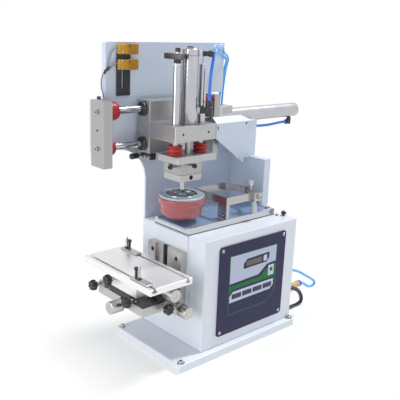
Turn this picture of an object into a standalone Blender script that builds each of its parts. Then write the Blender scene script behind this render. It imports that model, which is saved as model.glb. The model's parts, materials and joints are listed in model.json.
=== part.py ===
"""Pad printing machine: bench press that carries a silicone pad from a printing plate to a worktable.

The origin is at the middle of the base plate's underside. +Z is up, the worktable side faces -Y
and the control panel faces +X. All lengths are in metres.
"""

import math

import bmesh
import bpy
from mathutils import Vector

# Fits
GAP = 0.0003  # between two pieces that touch
RUNNING_FIT = 0.0003  # radial, round a rod that slides
OVERRUN = 0.003  # how far a cutter passes the face that it opens
LAP = 0.001  # how far a joined solid reaches into the one that carries it
WELD = 0.0000001  # points of one mesh closer than this are one point
ROUTE_UNIT = 0.001  # unit of the steps along a hand-set air line or cable

# Counts of sides on round pieces
LARGE_SIDES = 40
MIDDLE_SIDES = 28
SMALL_SIDES = 16
ARC_STEPS = 10
CORNER_STEPS = 4
BUMPER_STEPS = 5

# Angles that tell a sharp edge from a smooth one
SMOOTH_UP_TO = math.radians(35)
BEVEL_FROM = math.radians(50)

# Base plate and cabinet
CABINET_WIDTH = 0.1825
CABINET_DEPTH = 0.250
CABINET_HEIGHT = 0.216
CABINET_SHEET = 0.003
CABINET_EDGE_RADIUS = 0.0015
BASE_THICKNESS = 0.016
BASE_FRONT_LIP = 0.061
BASE_RIGHT_LIP = 0.0125
BASE_LEFT_LIP = 0.001
BASE_BACK_LIP = 0.002
BASE_EDGE_RADIUS = 0.002
APRON_THICKNESS = 0.0025

# Control panel and its buttons
PANEL_THICKNESS = 0.002
PANEL_FRONT_MARGIN = 0.0354
PANEL_BACK_MARGIN = 0.0333
PANEL_TOP_MARGIN = 0.018
PANEL_BOTTOM_MARGIN = 0.0198
PANEL_CORNER_RADIUS = 0.006
KEY_COUNT = 4
KEY_LENGTH = 0.024
KEY_HEIGHT = 0.0087
KEY_PITCH = 0.0286
KEY_FIRST_FROM_FRONT = 0.0478
KEY_FROM_BOTTOM = 0.0732
KEY_CLEARANCE = 0.0004
BUTTON_STANDS_PROUD = 0.001
BUTTON_TRAVEL = 0.0006
POWER_BUTTON_RADIUS = 0.0035
POWER_FROM_BACK = 0.0384
POWER_FROM_BOTTOM = 0.1049

# Side wall, an upright sheet with a rounded throat under its overhang
WALL_SHEET = 0.004
WALL_FRONT_INSET = 0.002
WALL_RISE = 0.2368
THROAT_RISE = 0.1412
THROAT_RADIUS = 0.064
OVERHANG_REACH = 0.123
WALL_STEP_DOWN = 0.0544

# Head rails and their end plates
END_PLATE_WIDTH = 0.0404
END_PLATE_HEIGHT = 0.117
FRONT_PLATE_THICKNESS = 0.018
REAR_PLATE_THICKNESS = 0.0146
RAIL_SPAN = 0.2409
RAIL_RADIUS = 0.0065
RAIL_SPACING = 0.0646
LOWER_RAIL_FROM_PLATE_FOOT = 0.0332
UPPER_BUMPER_RADIUS = 0.0172
UPPER_BUMPER_LENGTH = 0.0215
LOWER_BUMPER_RADIUS = 0.0150
LOWER_BUMPER_LENGTH = 0.0135
REAR_BUMPER_RADIUS = 0.0175
REAR_BUMPER_LENGTH = 0.012
BUMPER_CROWN_SHARE = 0.45

# Carriage and head block
CARRIAGE_LENGTH = 0.0968
CARRIAGE_HEIGHT = 0.0971
CARRIAGE_WALL_CLEARANCE = 0.005
CARRIAGE_FROM_FRONT_PLATE = 0.0804
CARRIAGE_EDGE_RADIUS = 0.0012
SEAL_RADIUS = 0.0133
SEAL_THICKNESS = 0.004
VALVE_BODY_WIDTH = 0.030
VALVE_BODY_DEPTH = 0.012
VALVE_BODY_HEIGHT = 0.012
VALVE_FROM_FRONT = 0.004
HEAD_BLOCK_REACH = 0.0733
HEAD_BLOCK_THICKNESS = 0.0288
HEAD_BLOCK_FROM_CARRIAGE_FOOT = 0.031
HEAD_BLOCK_EDGE_RADIUS = 0.001
CLAMP_HOLE_RADIUS = 0.0022
CLAMP_HOLE_DEPTH = 0.008

# Lift cylinder and the guides on both sides of it
LIFT_AXIS_FROM_NOSE = 0.0216
LIFT_BARREL_RADIUS = 0.0152
LIFT_BARREL_HEIGHT = 0.1315
LIFT_CAP_HEIGHT = 0.0115
LIFT_CAP_GROOVE = 0.0006
GUIDE_SPACING = 0.0602
GUIDE_ROD_RADIUS = 0.00675
GUIDE_ABOVE_BLOCK = 0.1035
GUIDE_NECK_RADIUS = 0.0047
GUIDE_NECK_IN_BLOCK = 0.003
GUIDE_COLLAR_RADIUS = 0.0062
REAR_GUIDE_STUB = 0.016
REAR_STUB_RADIUS = 0.0016
PISTON_ROD_RADIUS = 0.0055
ELBOW_BARREL_RADIUS = 0.0058
ELBOW_COLLAR_RADIUS = 0.0070
ELBOW_REACH = 0.036
ELBOW_TURN = math.radians(34)  # from straight back towards the panel side
UPPER_ELBOW_FROM_TOP = 0.0080
LOWER_ELBOW_ABOVE_BLOCK = 0.0240
LOWER_ELBOW_RISE = 0.0170

# Slide plate, buffers, pad holder and pad
SLIDE_PLATE_WIDTH = 0.0554
SLIDE_PLATE_LENGTH = 0.0936
SLIDE_PLATE_THICKNESS = 0.0127
SLIDE_PLATE_DROP = 0.0248
BUFFER_RADIUS = 0.0132
BUFFER_WAIST_RADIUS = 0.0108
BUFFER_HEIGHT = 0.0163
TRIP_BAR_LENGTH = 0.045
TRIP_BAR_BEHIND_ROD = 0.032
TRIP_BAR_WIDTH = 0.009
TRIP_BAR_HEIGHT = 0.010
TRIP_BAR_ABOVE_GUIDE = 0.0095
TRIP_NUT_RADIUS = 0.0065
TRIP_NUT_HEIGHT = 0.006
TRIP_KNOB_RADIUS = 0.0045
TRIP_KNOB_HEIGHT = 0.007
TRIP_SPACER_HEIGHT = 0.003
PAD_AXIS_INSET = 0.0123
SLIDE_BLOCK_WIDTH = 0.0478
SLIDE_BLOCK_LENGTH = 0.0498
SLIDE_BLOCK_HEIGHT = 0.0243
SLIDE_SLOT_HEIGHT = 0.0022
SLIDE_SLOT_LENGTH = 0.011
PAD_HOLDER_HEIGHT = 0.0127
HOLDER_SOCKET_RADIUS = 0.0032
HOLDER_SOCKET_DEPTH = 0.006
PAD_STEM_RADIUS = 0.0046
PAD_STEM_LENGTH = 0.029
PAD_DISC_RADIUS = 0.0426
PAD_DISC_THICKNESS = 0.0043
PAD_DISC_RECESS_RADIUS = 0.0283
PAD_DISC_RECESS_DEPTH = 0.0014
PAD_FLANGE_RADIUS = 0.0441
PAD_FLANGE_HEIGHT = 0.0105
PAD_BODY_RADIUS = 0.0396
PAD_HEIGHT = 0.0436
PAD_SHOULDER_SHARE = 0.62
PAD_CROWN_STEPS = 8

# Rear housing and the sheet cover over it
COLUMN_WIDTH = 0.0973
COLUMN_DEPTH = 0.0178
COLUMN_RISE = 0.1072
HOUSING_SHEET = 0.002
COVER_SHEET = 0.0015
COVER_OUT_FROM_WALL = 0.054
COVER_TOP_RISE = 0.1824
COVER_FLANGE_WIDTH = 0.0160
COVER_FRONT_FROM_BACK = 0.1165
COVER_JOINT_FROM_BACK = 0.0355
COVER_FRONT_HEIGHT = 0.030
COVER_JOINT_HEIGHT = 0.0875
NECK_PANEL_LENGTH = 0.055
NECK_BACK_DROP = 0.010

# Upper panel, its slotted bracket and stroke sensors
UPPER_PANEL_LENGTH = 0.2867
UPPER_PANEL_HEIGHT = 0.0972
UPPER_PANEL_SHEET = 0.0015
UPPER_PANEL_FOLD = 0.012
UPPER_PANEL_CORNER = 0.006
UPPER_PANEL_FRONT_SETBACK = 0.0312
SENSOR_BRACKET_LENGTH = 0.0284
SENSOR_BRACKET_HEIGHT = 0.074
SENSOR_BRACKET_SHEET = 0.003
SENSOR_BRACKET_FROM_FRONT = 0.0222
SENSOR_BRACKET_FROM_FOOT = 0.0034
SENSOR_SLOT_WIDTH = 0.0042
SENSOR_SLOT_MARGIN = 0.0115
SENSOR_LENGTH = 0.0398
SENSOR_HEIGHT = 0.0184
SENSOR_THICKNESS = 0.009
SENSOR_EAR_LENGTH = 0.0175
SENSOR_EAR_THICKNESS = 0.006
UPPER_SENSOR_FROM_TOP = 0.0025
SENSOR_PITCH = 0.0268

# Shuttle cylinder, which drives the head along its rails
SHUTTLE_BARREL_RADIUS = 0.0150
SHUTTLE_LENGTH = 0.248
SHUTTLE_CAP_LENGTH = 0.014
SHUTTLE_AXIS_RISE = 0.0387
SHUTTLE_AXIS_SHIFT = 0.0045
SHUTTLE_ROD_RADIUS = 0.005
SHUTTLE_ROD_INSIDE = 0.060
SHUTTLE_BORE_RADIUS = 0.0058
SHUTTLE_BORE_DEPTH = 0.115
MOUNT_BLOCK_WIDTH = 0.036
MOUNT_BLOCK_LENGTH = 0.038
MOUNT_BLOCK_HEIGHT = 0.019
MOUNT_BLOCK_RISE = 0.0025
SHUTTLE_ELBOW_DROP = 0.0165
SHUTTLE_ELBOW_FROM_END = 0.0165
SHUTTLE_ELBOW_REACH = 0.0105
SHUTTLE_ELBOW_RADIUS = 0.005
SHUTTLE_ELBOW_ARM_RADIUS = 0.0048

# Ink tray, printing plate and cup holder
TRAY_WIDTH = 0.0979
TRAY_LENGTH = 0.2315
TRAY_HEIGHT = 0.0126
TRAY_RAIL_WIDTH = 0.0068
TRAY_FLOOR = 0.008
TRAY_FROM_CABINET_RIGHT = 0.0456
PLATE_THICKNESS = 0.003
HOLDER_STRIP = 0.0015
HOLDER_STRIP_HEIGHT = 0.0150
HOLDER_FOOT_RISE = 0.0280
HOLDER_FROM_TRAY_FRONT = 0.0937
HOLDER_LENGTH = 0.0790
HOLDER_LEFT_INSET = 0.0030
HOLDER_RIGHT_INSET = 0.0010
HOLDER_BACK_BULGE = 0.0190
HOLDER_CORNER_LENGTH = 0.0110
DARK_LEG_WIDTH = 0.0200
DARK_LEG_INSET = 0.0040
SIDE_LEG_LENGTH = 0.0090
HOLDER_POST_RADIUS = 0.0058
CLAMP_BLOCK_LENGTH = 0.0220
CLAMP_BLOCK_WIDTH = 0.0150
CLAMP_BLOCK_HEIGHT = 0.0170
THUMB_SCREW_RADIUS = 0.0058
THUMB_SCREW_HEAD = 0.0082
THUMB_SCREW_NECK_RADIUS = 0.0030
THUMB_SCREW_NECK = 0.0120
THUMB_LUG_WIDTH = 0.0110

# Table bracket on the cabinet's front
BRACKET_WIDTH = 0.0972
BRACKET_THICKNESS = 0.0165
BRACKET_HEIGHT = 0.118
BRACKET_DROP_FROM_CABINET_TOP = 0.0312
BRACKET_HOLE_RADIUS = 0.0045
BRACKET_HOLE_DEPTH = 0.010
BRACKET_HOLE_SPACING = 0.0694
BRACKET_HOLE_DROP = 0.0140
BRACKET_WAY_WIDTH = 0.0475
BRACKET_WAY_DEPTH = 0.006
BRACKET_KEYWAY_WIDTH = 0.0122
BRACKET_KEYWAY_DEPTH = 0.011
BRACKET_WAY_SHIFT = 0.0035

# Knee, cross slide and worktable
KNEE_PLATE_LEFT = 0.060
KNEE_PLATE_RIGHT = 0.048
KNEE_PLATE_THICKNESS = 0.0155
KNEE_PLATE_HEIGHT = 0.040
KNEE_BELOW_BRACKET_TOP = 0.0735
KNEE_ARM_REACH = 0.0725
KNEE_ARM_WIDTH = 0.139
KNEE_ARM_RIGHT = 0.044
KNEE_ARM_THICKNESS = 0.0165
KNEE_ARM_FROM_PLATE_TOP = 0.0085
KNEE_HORN_WIDTH = 0.019
KNEE_HORN_DEPTH = 0.015
KNEE_HORN_HEIGHT = 0.0085
WAY_WIDTH = 0.030
WAY_DEPTH = 0.006
CROSS_TONGUE_INSET = 0.010
CROSS_SLIDE_WIDTH = 0.104
CROSS_SLIDE_LENGTH = 0.049
CROSS_SLIDE_THICKNESS = 0.0112
CROSS_SLIDE_INSET = 0.001
TABLE_BLOCK_WIDTH = 0.078
TABLE_BLOCK_LENGTH = 0.048
TABLE_BLOCK_HEIGHT = 0.0340
TABLE_BLOCK_FROM_SLIDE_RIGHT = 0.022
TABLE_BLOCK_INSET = 0.0005
TABLE_WAY_WIDTH = 0.016
TABLE_WAY_DEPTH = 0.005
TABLE_TONGUE_INSET = 0.008
TABLE_WIDTH = 0.2017
TABLE_LENGTH = 0.0928
TABLE_THICKNESS = 0.012
TABLE_RIGHT_OVERHANG = 0.069
TABLE_FRONT_OVERHANG = 0.0225
TABLE_EDGE_RADIUS = 0.0006
T_SLOT_NECK = 0.0048
T_SLOT_NECK_DEPTH = 0.0040
T_SLOT_FOOT = 0.0100
T_SLOT_FOOT_DEPTH = 0.0040
FRONT_T_SLOT_INSET = 0.0092
REAR_T_SLOT_INSET = 0.0102

# Work clamps in the T-slots
STRAP_LENGTH = 0.048
STRAP_WIDTH = 0.015
STRAP_THICKNESS = 0.003
CLAMP_NECK_CLEARANCE = 0.0006
CLAMP_NUT_LENGTH = 0.014
CLAMP_SCREW_RADIUS = 0.0026
CLAMP_SCREW_HEIGHT = 0.0150
CLAMP_SCREW_HEAD_RADIUS = 0.0040
CLAMP_SCREW_HEAD_HEIGHT = 0.0045
CLAMP_PIN_RADIUS = 0.0026
CLAMP_PIN_HEIGHT = 0.0235
CLAMP_COLLAR_RADIUS = 0.0040
CLAMP_COLLAR_HEIGHT = 0.0035
CLAMP_FIRST_INSET = 0.0050
CLAMP_PITCH = 0.0095
NEAR_CLAMP_FROM_RIGHT = 0.0600
FAR_CLAMP_FROM_LEFT = 0.0112

# Feed knobs and lock knobs
FEED_KNOB_RADIUS = 0.0118
FEED_KNOB_LENGTH = 0.0265
FEED_SPINDLE_RADIUS = 0.0064
FEED_X_SPINDLE = 0.0290
FEED_Y_SPINDLE = 0.0080
LIFT_SPINDLE = 0.0065
FEED_X_FROM_BLOCK_REAR = 0.003
FEED_X_DROP = 0.022
FEED_Y_FROM_ARM_RIGHT = 0.053
LIFT_KNOB_FROM_PLATE_FRONT = 0.0030
LIFT_KNOB_RISE = 0.0145
STAR_KNOB_RADIUS = 0.0102
STAR_KNOB_LOBES = 7
STAR_LOBE_SHARE = 0.13
STAR_FOOT_SHARE = 0.90
STAR_CROWN_SHARE = 0.86
STAR_EDGE_SHARE = 0.2
STAR_SIDES_PER_LOBE = 6
STAR_KNOB_THICKNESS = 0.0110
STAR_STEM_RADIUS = 0.0035
STAR_STEM_LENGTH = 0.0095
TABLE_LOCK_FROM_BLOCK_LEFT = 0.0115
TABLE_LOCK_DROP = 0.0170
SLIDE_LOCK_FROM_RIGHT = 0.0295
HORN_LOCK_DROP = 0.0055
ARM_LOCK_FROM_FRONT = 0.0460

# Air lines and cables
TUBE_RADIUS = 0.0029
CABLE_RADIUS = 0.0045
TUBE_STEP = 0.0125
INLET_FROM_RIGHT = 0.0355
INLET_RISE = 0.0440
CABLES_FROM_RIGHT = 0.0135
INLET_BODY_RADIUS = 0.0085
INLET_BODY_LENGTH = 0.0400
INLET_NUT_RADIUS = 0.0120
INLET_NUT_LENGTH = 0.0120
INLET_NECK_RADIUS = 0.0055
INLET_COLLET_RADIUS = 0.0062
INLET_LENGTH = 0.0730
INLET_NECK_START = 0.0530
INLET_COLLET_START = 0.0640

# Faces that several pieces share, worked out from the sizes above
BASE_WIDTH = BASE_LEFT_LIP + CABINET_WIDTH + BASE_RIGHT_LIP
BASE_DEPTH = BASE_FRONT_LIP + CABINET_DEPTH + BASE_BACK_LIP
CABINET_LEFT = -BASE_WIDTH / 2 + BASE_LEFT_LIP
CABINET_RIGHT = CABINET_LEFT + CABINET_WIDTH
CABINET_FRONT = -BASE_DEPTH / 2 + BASE_FRONT_LIP
CABINET_BACK = CABINET_FRONT + CABINET_DEPTH
CABINET_FOOT = BASE_THICKNESS + GAP
CABINET_TOP = CABINET_FOOT + CABINET_HEIGHT

PANEL_FRONT = CABINET_FRONT + PANEL_FRONT_MARGIN
PANEL_BACK = CABINET_BACK - PANEL_BACK_MARGIN
PANEL_FOOT = CABINET_FOOT + PANEL_BOTTOM_MARGIN
PANEL_TOP = CABINET_TOP - PANEL_TOP_MARGIN

WALL_INNER = CABINET_LEFT + WALL_SHEET
WALL_FRONT = CABINET_FRONT + WALL_FRONT_INSET
WALL_FOOT = CABINET_TOP + GAP
WALL_TOP = WALL_FOOT + WALL_RISE
THROAT_TOP = WALL_FOOT + THROAT_RISE

PLATE_LEFT = WALL_INNER + GAP
PLATE_RIGHT = PLATE_LEFT + END_PLATE_WIDTH
PLATE_FOOT = WALL_TOP - END_PLATE_HEIGHT
FRONT_PLATE_FRONT = WALL_FRONT - OVERHANG_REACH
FRONT_PLATE_BACK = FRONT_PLATE_FRONT + FRONT_PLATE_THICKNESS
REAR_PLATE_FRONT = FRONT_PLATE_BACK + RAIL_SPAN
REAR_PLATE_BACK = REAR_PLATE_FRONT + REAR_PLATE_THICKNESS
RAIL_X = (PLATE_LEFT + PLATE_RIGHT) / 2
LOWER_RAIL_Z = PLATE_FOOT + LOWER_RAIL_FROM_PLATE_FOOT
UPPER_RAIL_Z = LOWER_RAIL_Z + RAIL_SPACING

CARRIAGE_FRONT = FRONT_PLATE_BACK + CARRIAGE_FROM_FRONT_PLATE
CARRIAGE_BACK = CARRIAGE_FRONT + CARRIAGE_LENGTH
CARRIAGE_LEFT = WALL_INNER + CARRIAGE_WALL_CLEARANCE
CARRIAGE_FOOT = (LOWER_RAIL_Z + UPPER_RAIL_Z - CARRIAGE_HEIGHT) / 2
CARRIAGE_TOP = CARRIAGE_FOOT + CARRIAGE_HEIGHT

BLOCK_LEFT = PLATE_RIGHT + GAP
BLOCK_RIGHT = BLOCK_LEFT + HEAD_BLOCK_REACH
BLOCK_FOOT = CARRIAGE_FOOT + HEAD_BLOCK_FROM_CARRIAGE_FOOT
BLOCK_TOP = BLOCK_FOOT + HEAD_BLOCK_THICKNESS

LIFT_X = BLOCK_RIGHT - LIFT_AXIS_FROM_NOSE
LIFT_Y = (CARRIAGE_FRONT + CARRIAGE_BACK) / 2
FRONT_GUIDE_Y = LIFT_Y - GUIDE_SPACING / 2
REAR_GUIDE_Y = LIFT_Y + GUIDE_SPACING / 2
GUIDE_TOP = BLOCK_TOP + GUIDE_ABOVE_BLOCK
BARREL_TOP = BLOCK_TOP + GAP + LIFT_BARREL_HEIGHT

SLIDE_PLATE_TOP = BLOCK_FOOT - SLIDE_PLATE_DROP
SLIDE_PLATE_FOOT = SLIDE_PLATE_TOP - SLIDE_PLATE_THICKNESS
PAD_X = LIFT_X - PAD_AXIS_INSET
SLIDE_BLOCK_FOOT = SLIDE_PLATE_FOOT - GAP - SLIDE_BLOCK_HEIGHT
HOLDER_FOOT = SLIDE_BLOCK_FOOT - GAP - PAD_HOLDER_HEIGHT
PAD_TOP = HOLDER_FOOT - GAP - PAD_STEM_LENGTH - PAD_DISC_THICKNESS

COVER_OUTER = CABINET_LEFT + WALL_SHEET + COVER_OUT_FROM_WALL
COVER_TOP = WALL_FOOT + COVER_TOP_RISE
COLUMN_TOP = WALL_FOOT + COLUMN_RISE
COLUMN_FRONT = CABINET_BACK - COLUMN_DEPTH

UPPER_PANEL_FRONT = FRONT_PLATE_FRONT + UPPER_PANEL_FRONT_SETBACK
UPPER_PANEL_FOOT = WALL_TOP + GAP
UPPER_PANEL_TOP = UPPER_PANEL_FOOT + UPPER_PANEL_HEIGHT
BRACKET_PLATE_OUTER = WALL_INNER + GAP + SENSOR_BRACKET_SHEET

SHUTTLE_X = RAIL_X + SHUTTLE_AXIS_SHIFT
SHUTTLE_Z = LOWER_RAIL_Z + SHUTTLE_AXIS_RISE
SHUTTLE_START = REAR_PLATE_BACK + GAP
SHUTTLE_END = SHUTTLE_START + SHUTTLE_LENGTH

TRAY_RIGHT = CABINET_RIGHT - TRAY_FROM_CABINET_RIGHT
TRAY_LEFT = TRAY_RIGHT - TRAY_WIDTH
TRAY_FRONT = CABINET_FRONT
TRAY_BACK = TRAY_FRONT + TRAY_LENGTH
TRAY_FOOT = CABINET_TOP + GAP
TRAY_TOP = TRAY_FOOT + TRAY_HEIGHT
TRAY_FLOOR_TOP = TRAY_FOOT + TRAY_FLOOR
PLATE_TOP = TRAY_FLOOR_TOP + GAP + PLATE_THICKNESS

APRON_FRONT = CABINET_FRONT - APRON_THICKNESS
BRACKET_BACK = APRON_FRONT - GAP
BRACKET_FRONT = BRACKET_BACK - BRACKET_THICKNESS + APRON_THICKNESS
BRACKET_TOP = CABINET_TOP - BRACKET_DROP_FROM_CABINET_TOP
BRACKET_FOOT = BRACKET_TOP - BRACKET_HEIGHT
BRACKET_X = (TRAY_LEFT + TRAY_RIGHT) / 2
WAY_X = BRACKET_X - BRACKET_WAY_SHIFT

KNEE_BACK = BRACKET_FRONT - GAP
KNEE_FRONT = KNEE_BACK - KNEE_PLATE_THICKNESS
KNEE_TOP = BRACKET_TOP - KNEE_BELOW_BRACKET_TOP
KNEE_FOOT = KNEE_TOP - KNEE_PLATE_HEIGHT
ARM_TOP = KNEE_TOP - KNEE_ARM_FROM_PLATE_TOP
ARM_FOOT = ARM_TOP - KNEE_ARM_THICKNESS
ARM_FRONT = KNEE_FRONT - KNEE_ARM_REACH
ARM_RIGHT = KNEE_ARM_RIGHT
ARM_LEFT = ARM_RIGHT - KNEE_ARM_WIDTH

CROSS_FOOT = ARM_TOP + GAP
CROSS_TOP = CROSS_FOOT + CROSS_SLIDE_THICKNESS
CROSS_FRONT = ARM_FRONT + CROSS_SLIDE_INSET
CROSS_BACK = CROSS_FRONT + CROSS_SLIDE_LENGTH
CROSS_RIGHT = ARM_RIGHT
CROSS_LEFT = CROSS_RIGHT - CROSS_SLIDE_WIDTH

TABLE_BLOCK_FOOT = CROSS_TOP + GAP
TABLE_FOOT = TABLE_BLOCK_FOOT + TABLE_BLOCK_HEIGHT
TABLE_TOP = TABLE_FOOT + TABLE_THICKNESS
TABLE_BLOCK_FRONT = CROSS_FRONT + TABLE_BLOCK_INSET
TABLE_BLOCK_BACK = TABLE_BLOCK_FRONT + TABLE_BLOCK_LENGTH
TABLE_BLOCK_RIGHT = CROSS_RIGHT - TABLE_BLOCK_FROM_SLIDE_RIGHT
TABLE_BLOCK_LEFT = TABLE_BLOCK_RIGHT - TABLE_BLOCK_WIDTH
TABLE_RIGHT = TABLE_BLOCK_RIGHT + TABLE_RIGHT_OVERHANG
TABLE_LEFT = TABLE_RIGHT - TABLE_WIDTH
TABLE_FRONT = TABLE_BLOCK_FRONT - TABLE_FRONT_OVERHANG
TABLE_BACK = TABLE_FRONT + TABLE_LENGTH
FRONT_SLOT_Y = TABLE_FRONT + FRONT_T_SLOT_INSET
REAR_SLOT_Y = TABLE_BACK - REAR_T_SLOT_INSET

# Finishes: colour, roughness, metallic
WHITE_PAINT = ("white_paint", (0.80, 0.84, 0.90), 0.35, 0.0)
NAVY_PRINT = ("navy_print", (0.045, 0.040, 0.11), 0.45, 0.0)
KEY_GREY = ("key_grey", (0.05, 0.05, 0.07), 0.5, 0.0)
ALUMINIUM = ("aluminium", (0.60, 0.58, 0.55), 0.38, 1.0)
STEEL = ("polished_steel", (0.62, 0.62, 0.63), 0.18, 1.0)
STAINLESS = ("stainless", (0.56, 0.54, 0.51), 0.28, 1.0)
BLACK_STEEL = ("black_steel", (0.035, 0.036, 0.042), 0.45, 0.4)
BLACK_PLASTIC = ("black_plastic", (0.02, 0.021, 0.024), 0.42, 0.0)
RED_RUBBER = ("red_rubber", (0.45, 0.012, 0.012), 0.55, 0.0)
SILICONE = ("silicone", (0.52, 0.13, 0.13), 0.40, 0.0)
SENSOR_AMBER = ("sensor_amber", (0.62, 0.33, 0.03), 0.45, 0.0)
BLUE_TUBE = ("blue_tube", (0.01, 0.22, 0.85), 0.30, 0.0)
CYAN_TUBE = ("cyan_tube", (0.08, 0.50, 0.95), 0.25, 0.0)
BRASS = ("brass", (0.66, 0.48, 0.22), 0.30, 1.0)
PLATE_BLUE = ("plate_blue", (0.07, 0.09, 0.13), 0.25, 0.8)


def clear_scene():
    """Remove every object of the scene."""
    for thing in list(bpy.data.objects):
        bpy.data.objects.remove(thing, do_unlink=True)


def material_of(finish):
    """The Principled material of this finish, made once."""
    name, colour, roughness, metallic = finish
    made = bpy.data.materials.get(name)
    if made is None:
        made = bpy.data.materials.new(name)
        made.use_nodes = True
        shader = made.node_tree.nodes["Principled BSDF"]
        shader.inputs["Base Color"].default_value = (*colour, 1.0)
        shader.inputs["Roughness"].default_value = roughness
        shader.inputs["Metallic"].default_value = metallic
        made.diffuse_color = (*colour, 1.0)
    return made


def body_empty(name, place, parent=None):
    """An empty on a joint's axis, which carries the pieces that move together."""
    empty = bpy.data.objects.new(name, None)
    empty.empty_display_size = CABINET_SHEET
    bpy.context.scene.collection.objects.link(empty)
    origin = Vector((0, 0, 0))
    if parent is not None:
        empty.parent = parent
        origin = Vector(parent["place"])
    empty["place"] = list(place)
    empty.location = Vector(place) - origin
    return empty


def add_object(name, mesh, place, finish, body, smooth=False):
    """Link a mesh as a named object at this place, carried by the body's empty."""
    if smooth:
        mesh.shade_smooth()
        mesh.set_sharp_from_angle(angle=SMOOTH_UP_TO)
    made = bpy.data.objects.new(name, mesh)
    bpy.context.scene.collection.objects.link(made)
    made.parent = body
    made.location = Vector(place) - Vector(body["place"])
    if finish is not None:
        mesh.materials.append(material_of(finish))
    return made


def mesh_from(bm, name):
    """Finish a bmesh as a mesh whose faces point out."""
    bmesh.ops.recalc_face_normals(bm, faces=bm.faces[:])
    mesh = bpy.data.meshes.new(name)
    bm.to_mesh(mesh)
    bm.free()
    return mesh


def block(name, x, y, z, finish, body, edge=0.0):
    """A box between two places on each axis, with its edges rounded off by a bevel."""
    size = Vector((x[1] - x[0], y[1] - y[0], z[1] - z[0]))
    middle = Vector((x[0] + x[1], y[0] + y[1], z[0] + z[1])) / 2
    bm = bmesh.new()
    bmesh.ops.create_cube(bm, size=1)
    bmesh.ops.scale(bm, vec=size, verts=bm.verts[:])
    made = add_object(name, mesh_from(bm, name), middle, finish, body)
    if edge:
        round_edges(made, edge)
    return made


def round_edges(thing, width, segments=2):
    """A bevel on the sharp edges of a piece."""
    bevel = thing.modifiers.new("edge", "BEVEL")
    bevel.width = width
    bevel.segments = segments
    bevel.limit_method = "ANGLE"
    bevel.angle_limit = BEVEL_FROM


def turned(name, foot, direction, profile, finish, body, sides=MIDDLE_SIDES):
    """A turned piece: profile is a list of (radius, height) from the foot along the direction."""
    bm = bmesh.new()
    rings = []
    for radius, height in profile:
        if radius == 0:
            rings.append([bm.verts.new((0, 0, height))])
            continue
        ring = []
        for step in range(sides):
            turn = 2 * math.pi * step / sides
            ring.append(bm.verts.new((radius * math.cos(turn), radius * math.sin(turn), height)))
        rings.append(ring)
    for low, high in zip(rings, rings[1:]):
        for step in range(sides):
            after = (step + 1) % sides
            corners = [low[step % len(low)], low[after % len(low)],
                       high[after % len(high)], high[step % len(high)]]
            bm.faces.new(list(dict.fromkeys(corners)))
    if len(rings[0]) > 1 and rings[0][0].co != rings[-1][0].co:
        for ring in (rings[0], rings[-1]):
            if len(ring) > 1:
                bm.faces.new(ring)
    bmesh.ops.remove_doubles(bm, verts=bm.verts[:], dist=WELD)
    made = add_object(name, mesh_from(bm, name), foot, finish, body, smooth=True)
    made.rotation_euler = Vector(direction).to_track_quat("Z", "Y").to_euler()
    return made


def rod(name, foot, direction, length, radius, finish, body, sides=MIDDLE_SIDES):
    """A plain cylinder from its foot along the direction."""
    return turned(name, foot, direction, [(radius, 0), (radius, length)], finish, body, sides)


def sheet(name, outline, axis, low, high, finish, body):
    """A flat outline, in the plane square to the axis, carried from low to high along it."""
    bm = bmesh.new()
    placed = []
    for across, up in outline:
        point = {"x": (low, across, up), "y": (across, low, up), "z": (across, up, low)}[axis]
        placed.append(bm.verts.new(point))
    face = bm.faces.new(placed)
    along = {"x": Vector((1, 0, 0)), "y": Vector((0, 1, 0)), "z": Vector((0, 0, 1))}[axis]
    swept = bmesh.ops.extrude_face_region(bm, geom=[face])
    moved = [part for part in swept["geom"] if isinstance(part, bmesh.types.BMVert)]
    bmesh.ops.translate(bm, vec=along * (high - low), verts=moved)
    middle = sum((vert.co for vert in bm.verts), Vector()) / len(bm.verts)
    bmesh.ops.translate(bm, vec=-middle, verts=bm.verts[:])
    return add_object(name, mesh_from(bm, name), middle, finish, body)


def arc(centre, radius, start, end, steps=ARC_STEPS):
    """Points of an arc in a plane, from one angle in degrees to another."""
    points = []
    for step in range(steps + 1):
        turn = math.radians(start + (end - start) * step / steps)
        points.append((centre[0] + radius * math.cos(turn), centre[1] + radius * math.sin(turn)))
    return points


def rounded_outline(low, high, radius, steps=CORNER_STEPS):
    """A rectangle between two corners, with its four corners rounded."""
    middles = [
        (high[0] - radius, high[1] - radius, 0),
        (low[0] + radius, high[1] - radius, 90),
        (low[0] + radius, low[1] + radius, 180),
        (high[0] - radius, low[1] + radius, 270),
    ]
    outline = []
    for across, up, start in middles:
        outline += arc((across, up), radius, start, start + 90, steps)
    return outline


def combine(piece, tool, operation):
    """Cut a helper from a piece, or join it on, with a live Boolean."""
    tool.hide_render = True
    tool.display_type = "WIRE"
    boolean = piece.modifiers.new(tool.name, "BOOLEAN")
    boolean.operation = operation
    boolean.solver = "EXACT"
    boolean.object = tool


def cut(piece, *tools):
    """Take each helper's space out of the piece."""
    for tool in tools:
        combine(piece, tool, "DIFFERENCE")


def join(piece, *tools):
    """Make each helper part of the piece."""
    for tool in tools:
        combine(piece, tool, "UNION")


def smooth_route(points, step):
    """Places at even steps on a smooth curve through the route's own points."""
    ends = [points[0] * 2 - points[1]] + points + [points[-1] * 2 - points[-2]]
    route = [points[0]]
    for index in range(1, len(ends) - 2):
        before, start, end, after = ends[index - 1:index + 3]
        parts = max(1, round((end - start).length / step))
        for part in range(1, parts + 1):
            t = part / parts
            route.append(0.5 * (2 * start + (end - before) * t
                                + (2 * before - 5 * start + 4 * end - after) * t ** 2
                                + (3 * start - before - 3 * end + after) * t ** 3))
    return route


def route_from(start, steps):
    """Route points at hand-set steps from a start, in route units."""
    return [Vector(start) + ROUTE_UNIT * Vector(step) for step in steps]


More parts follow.
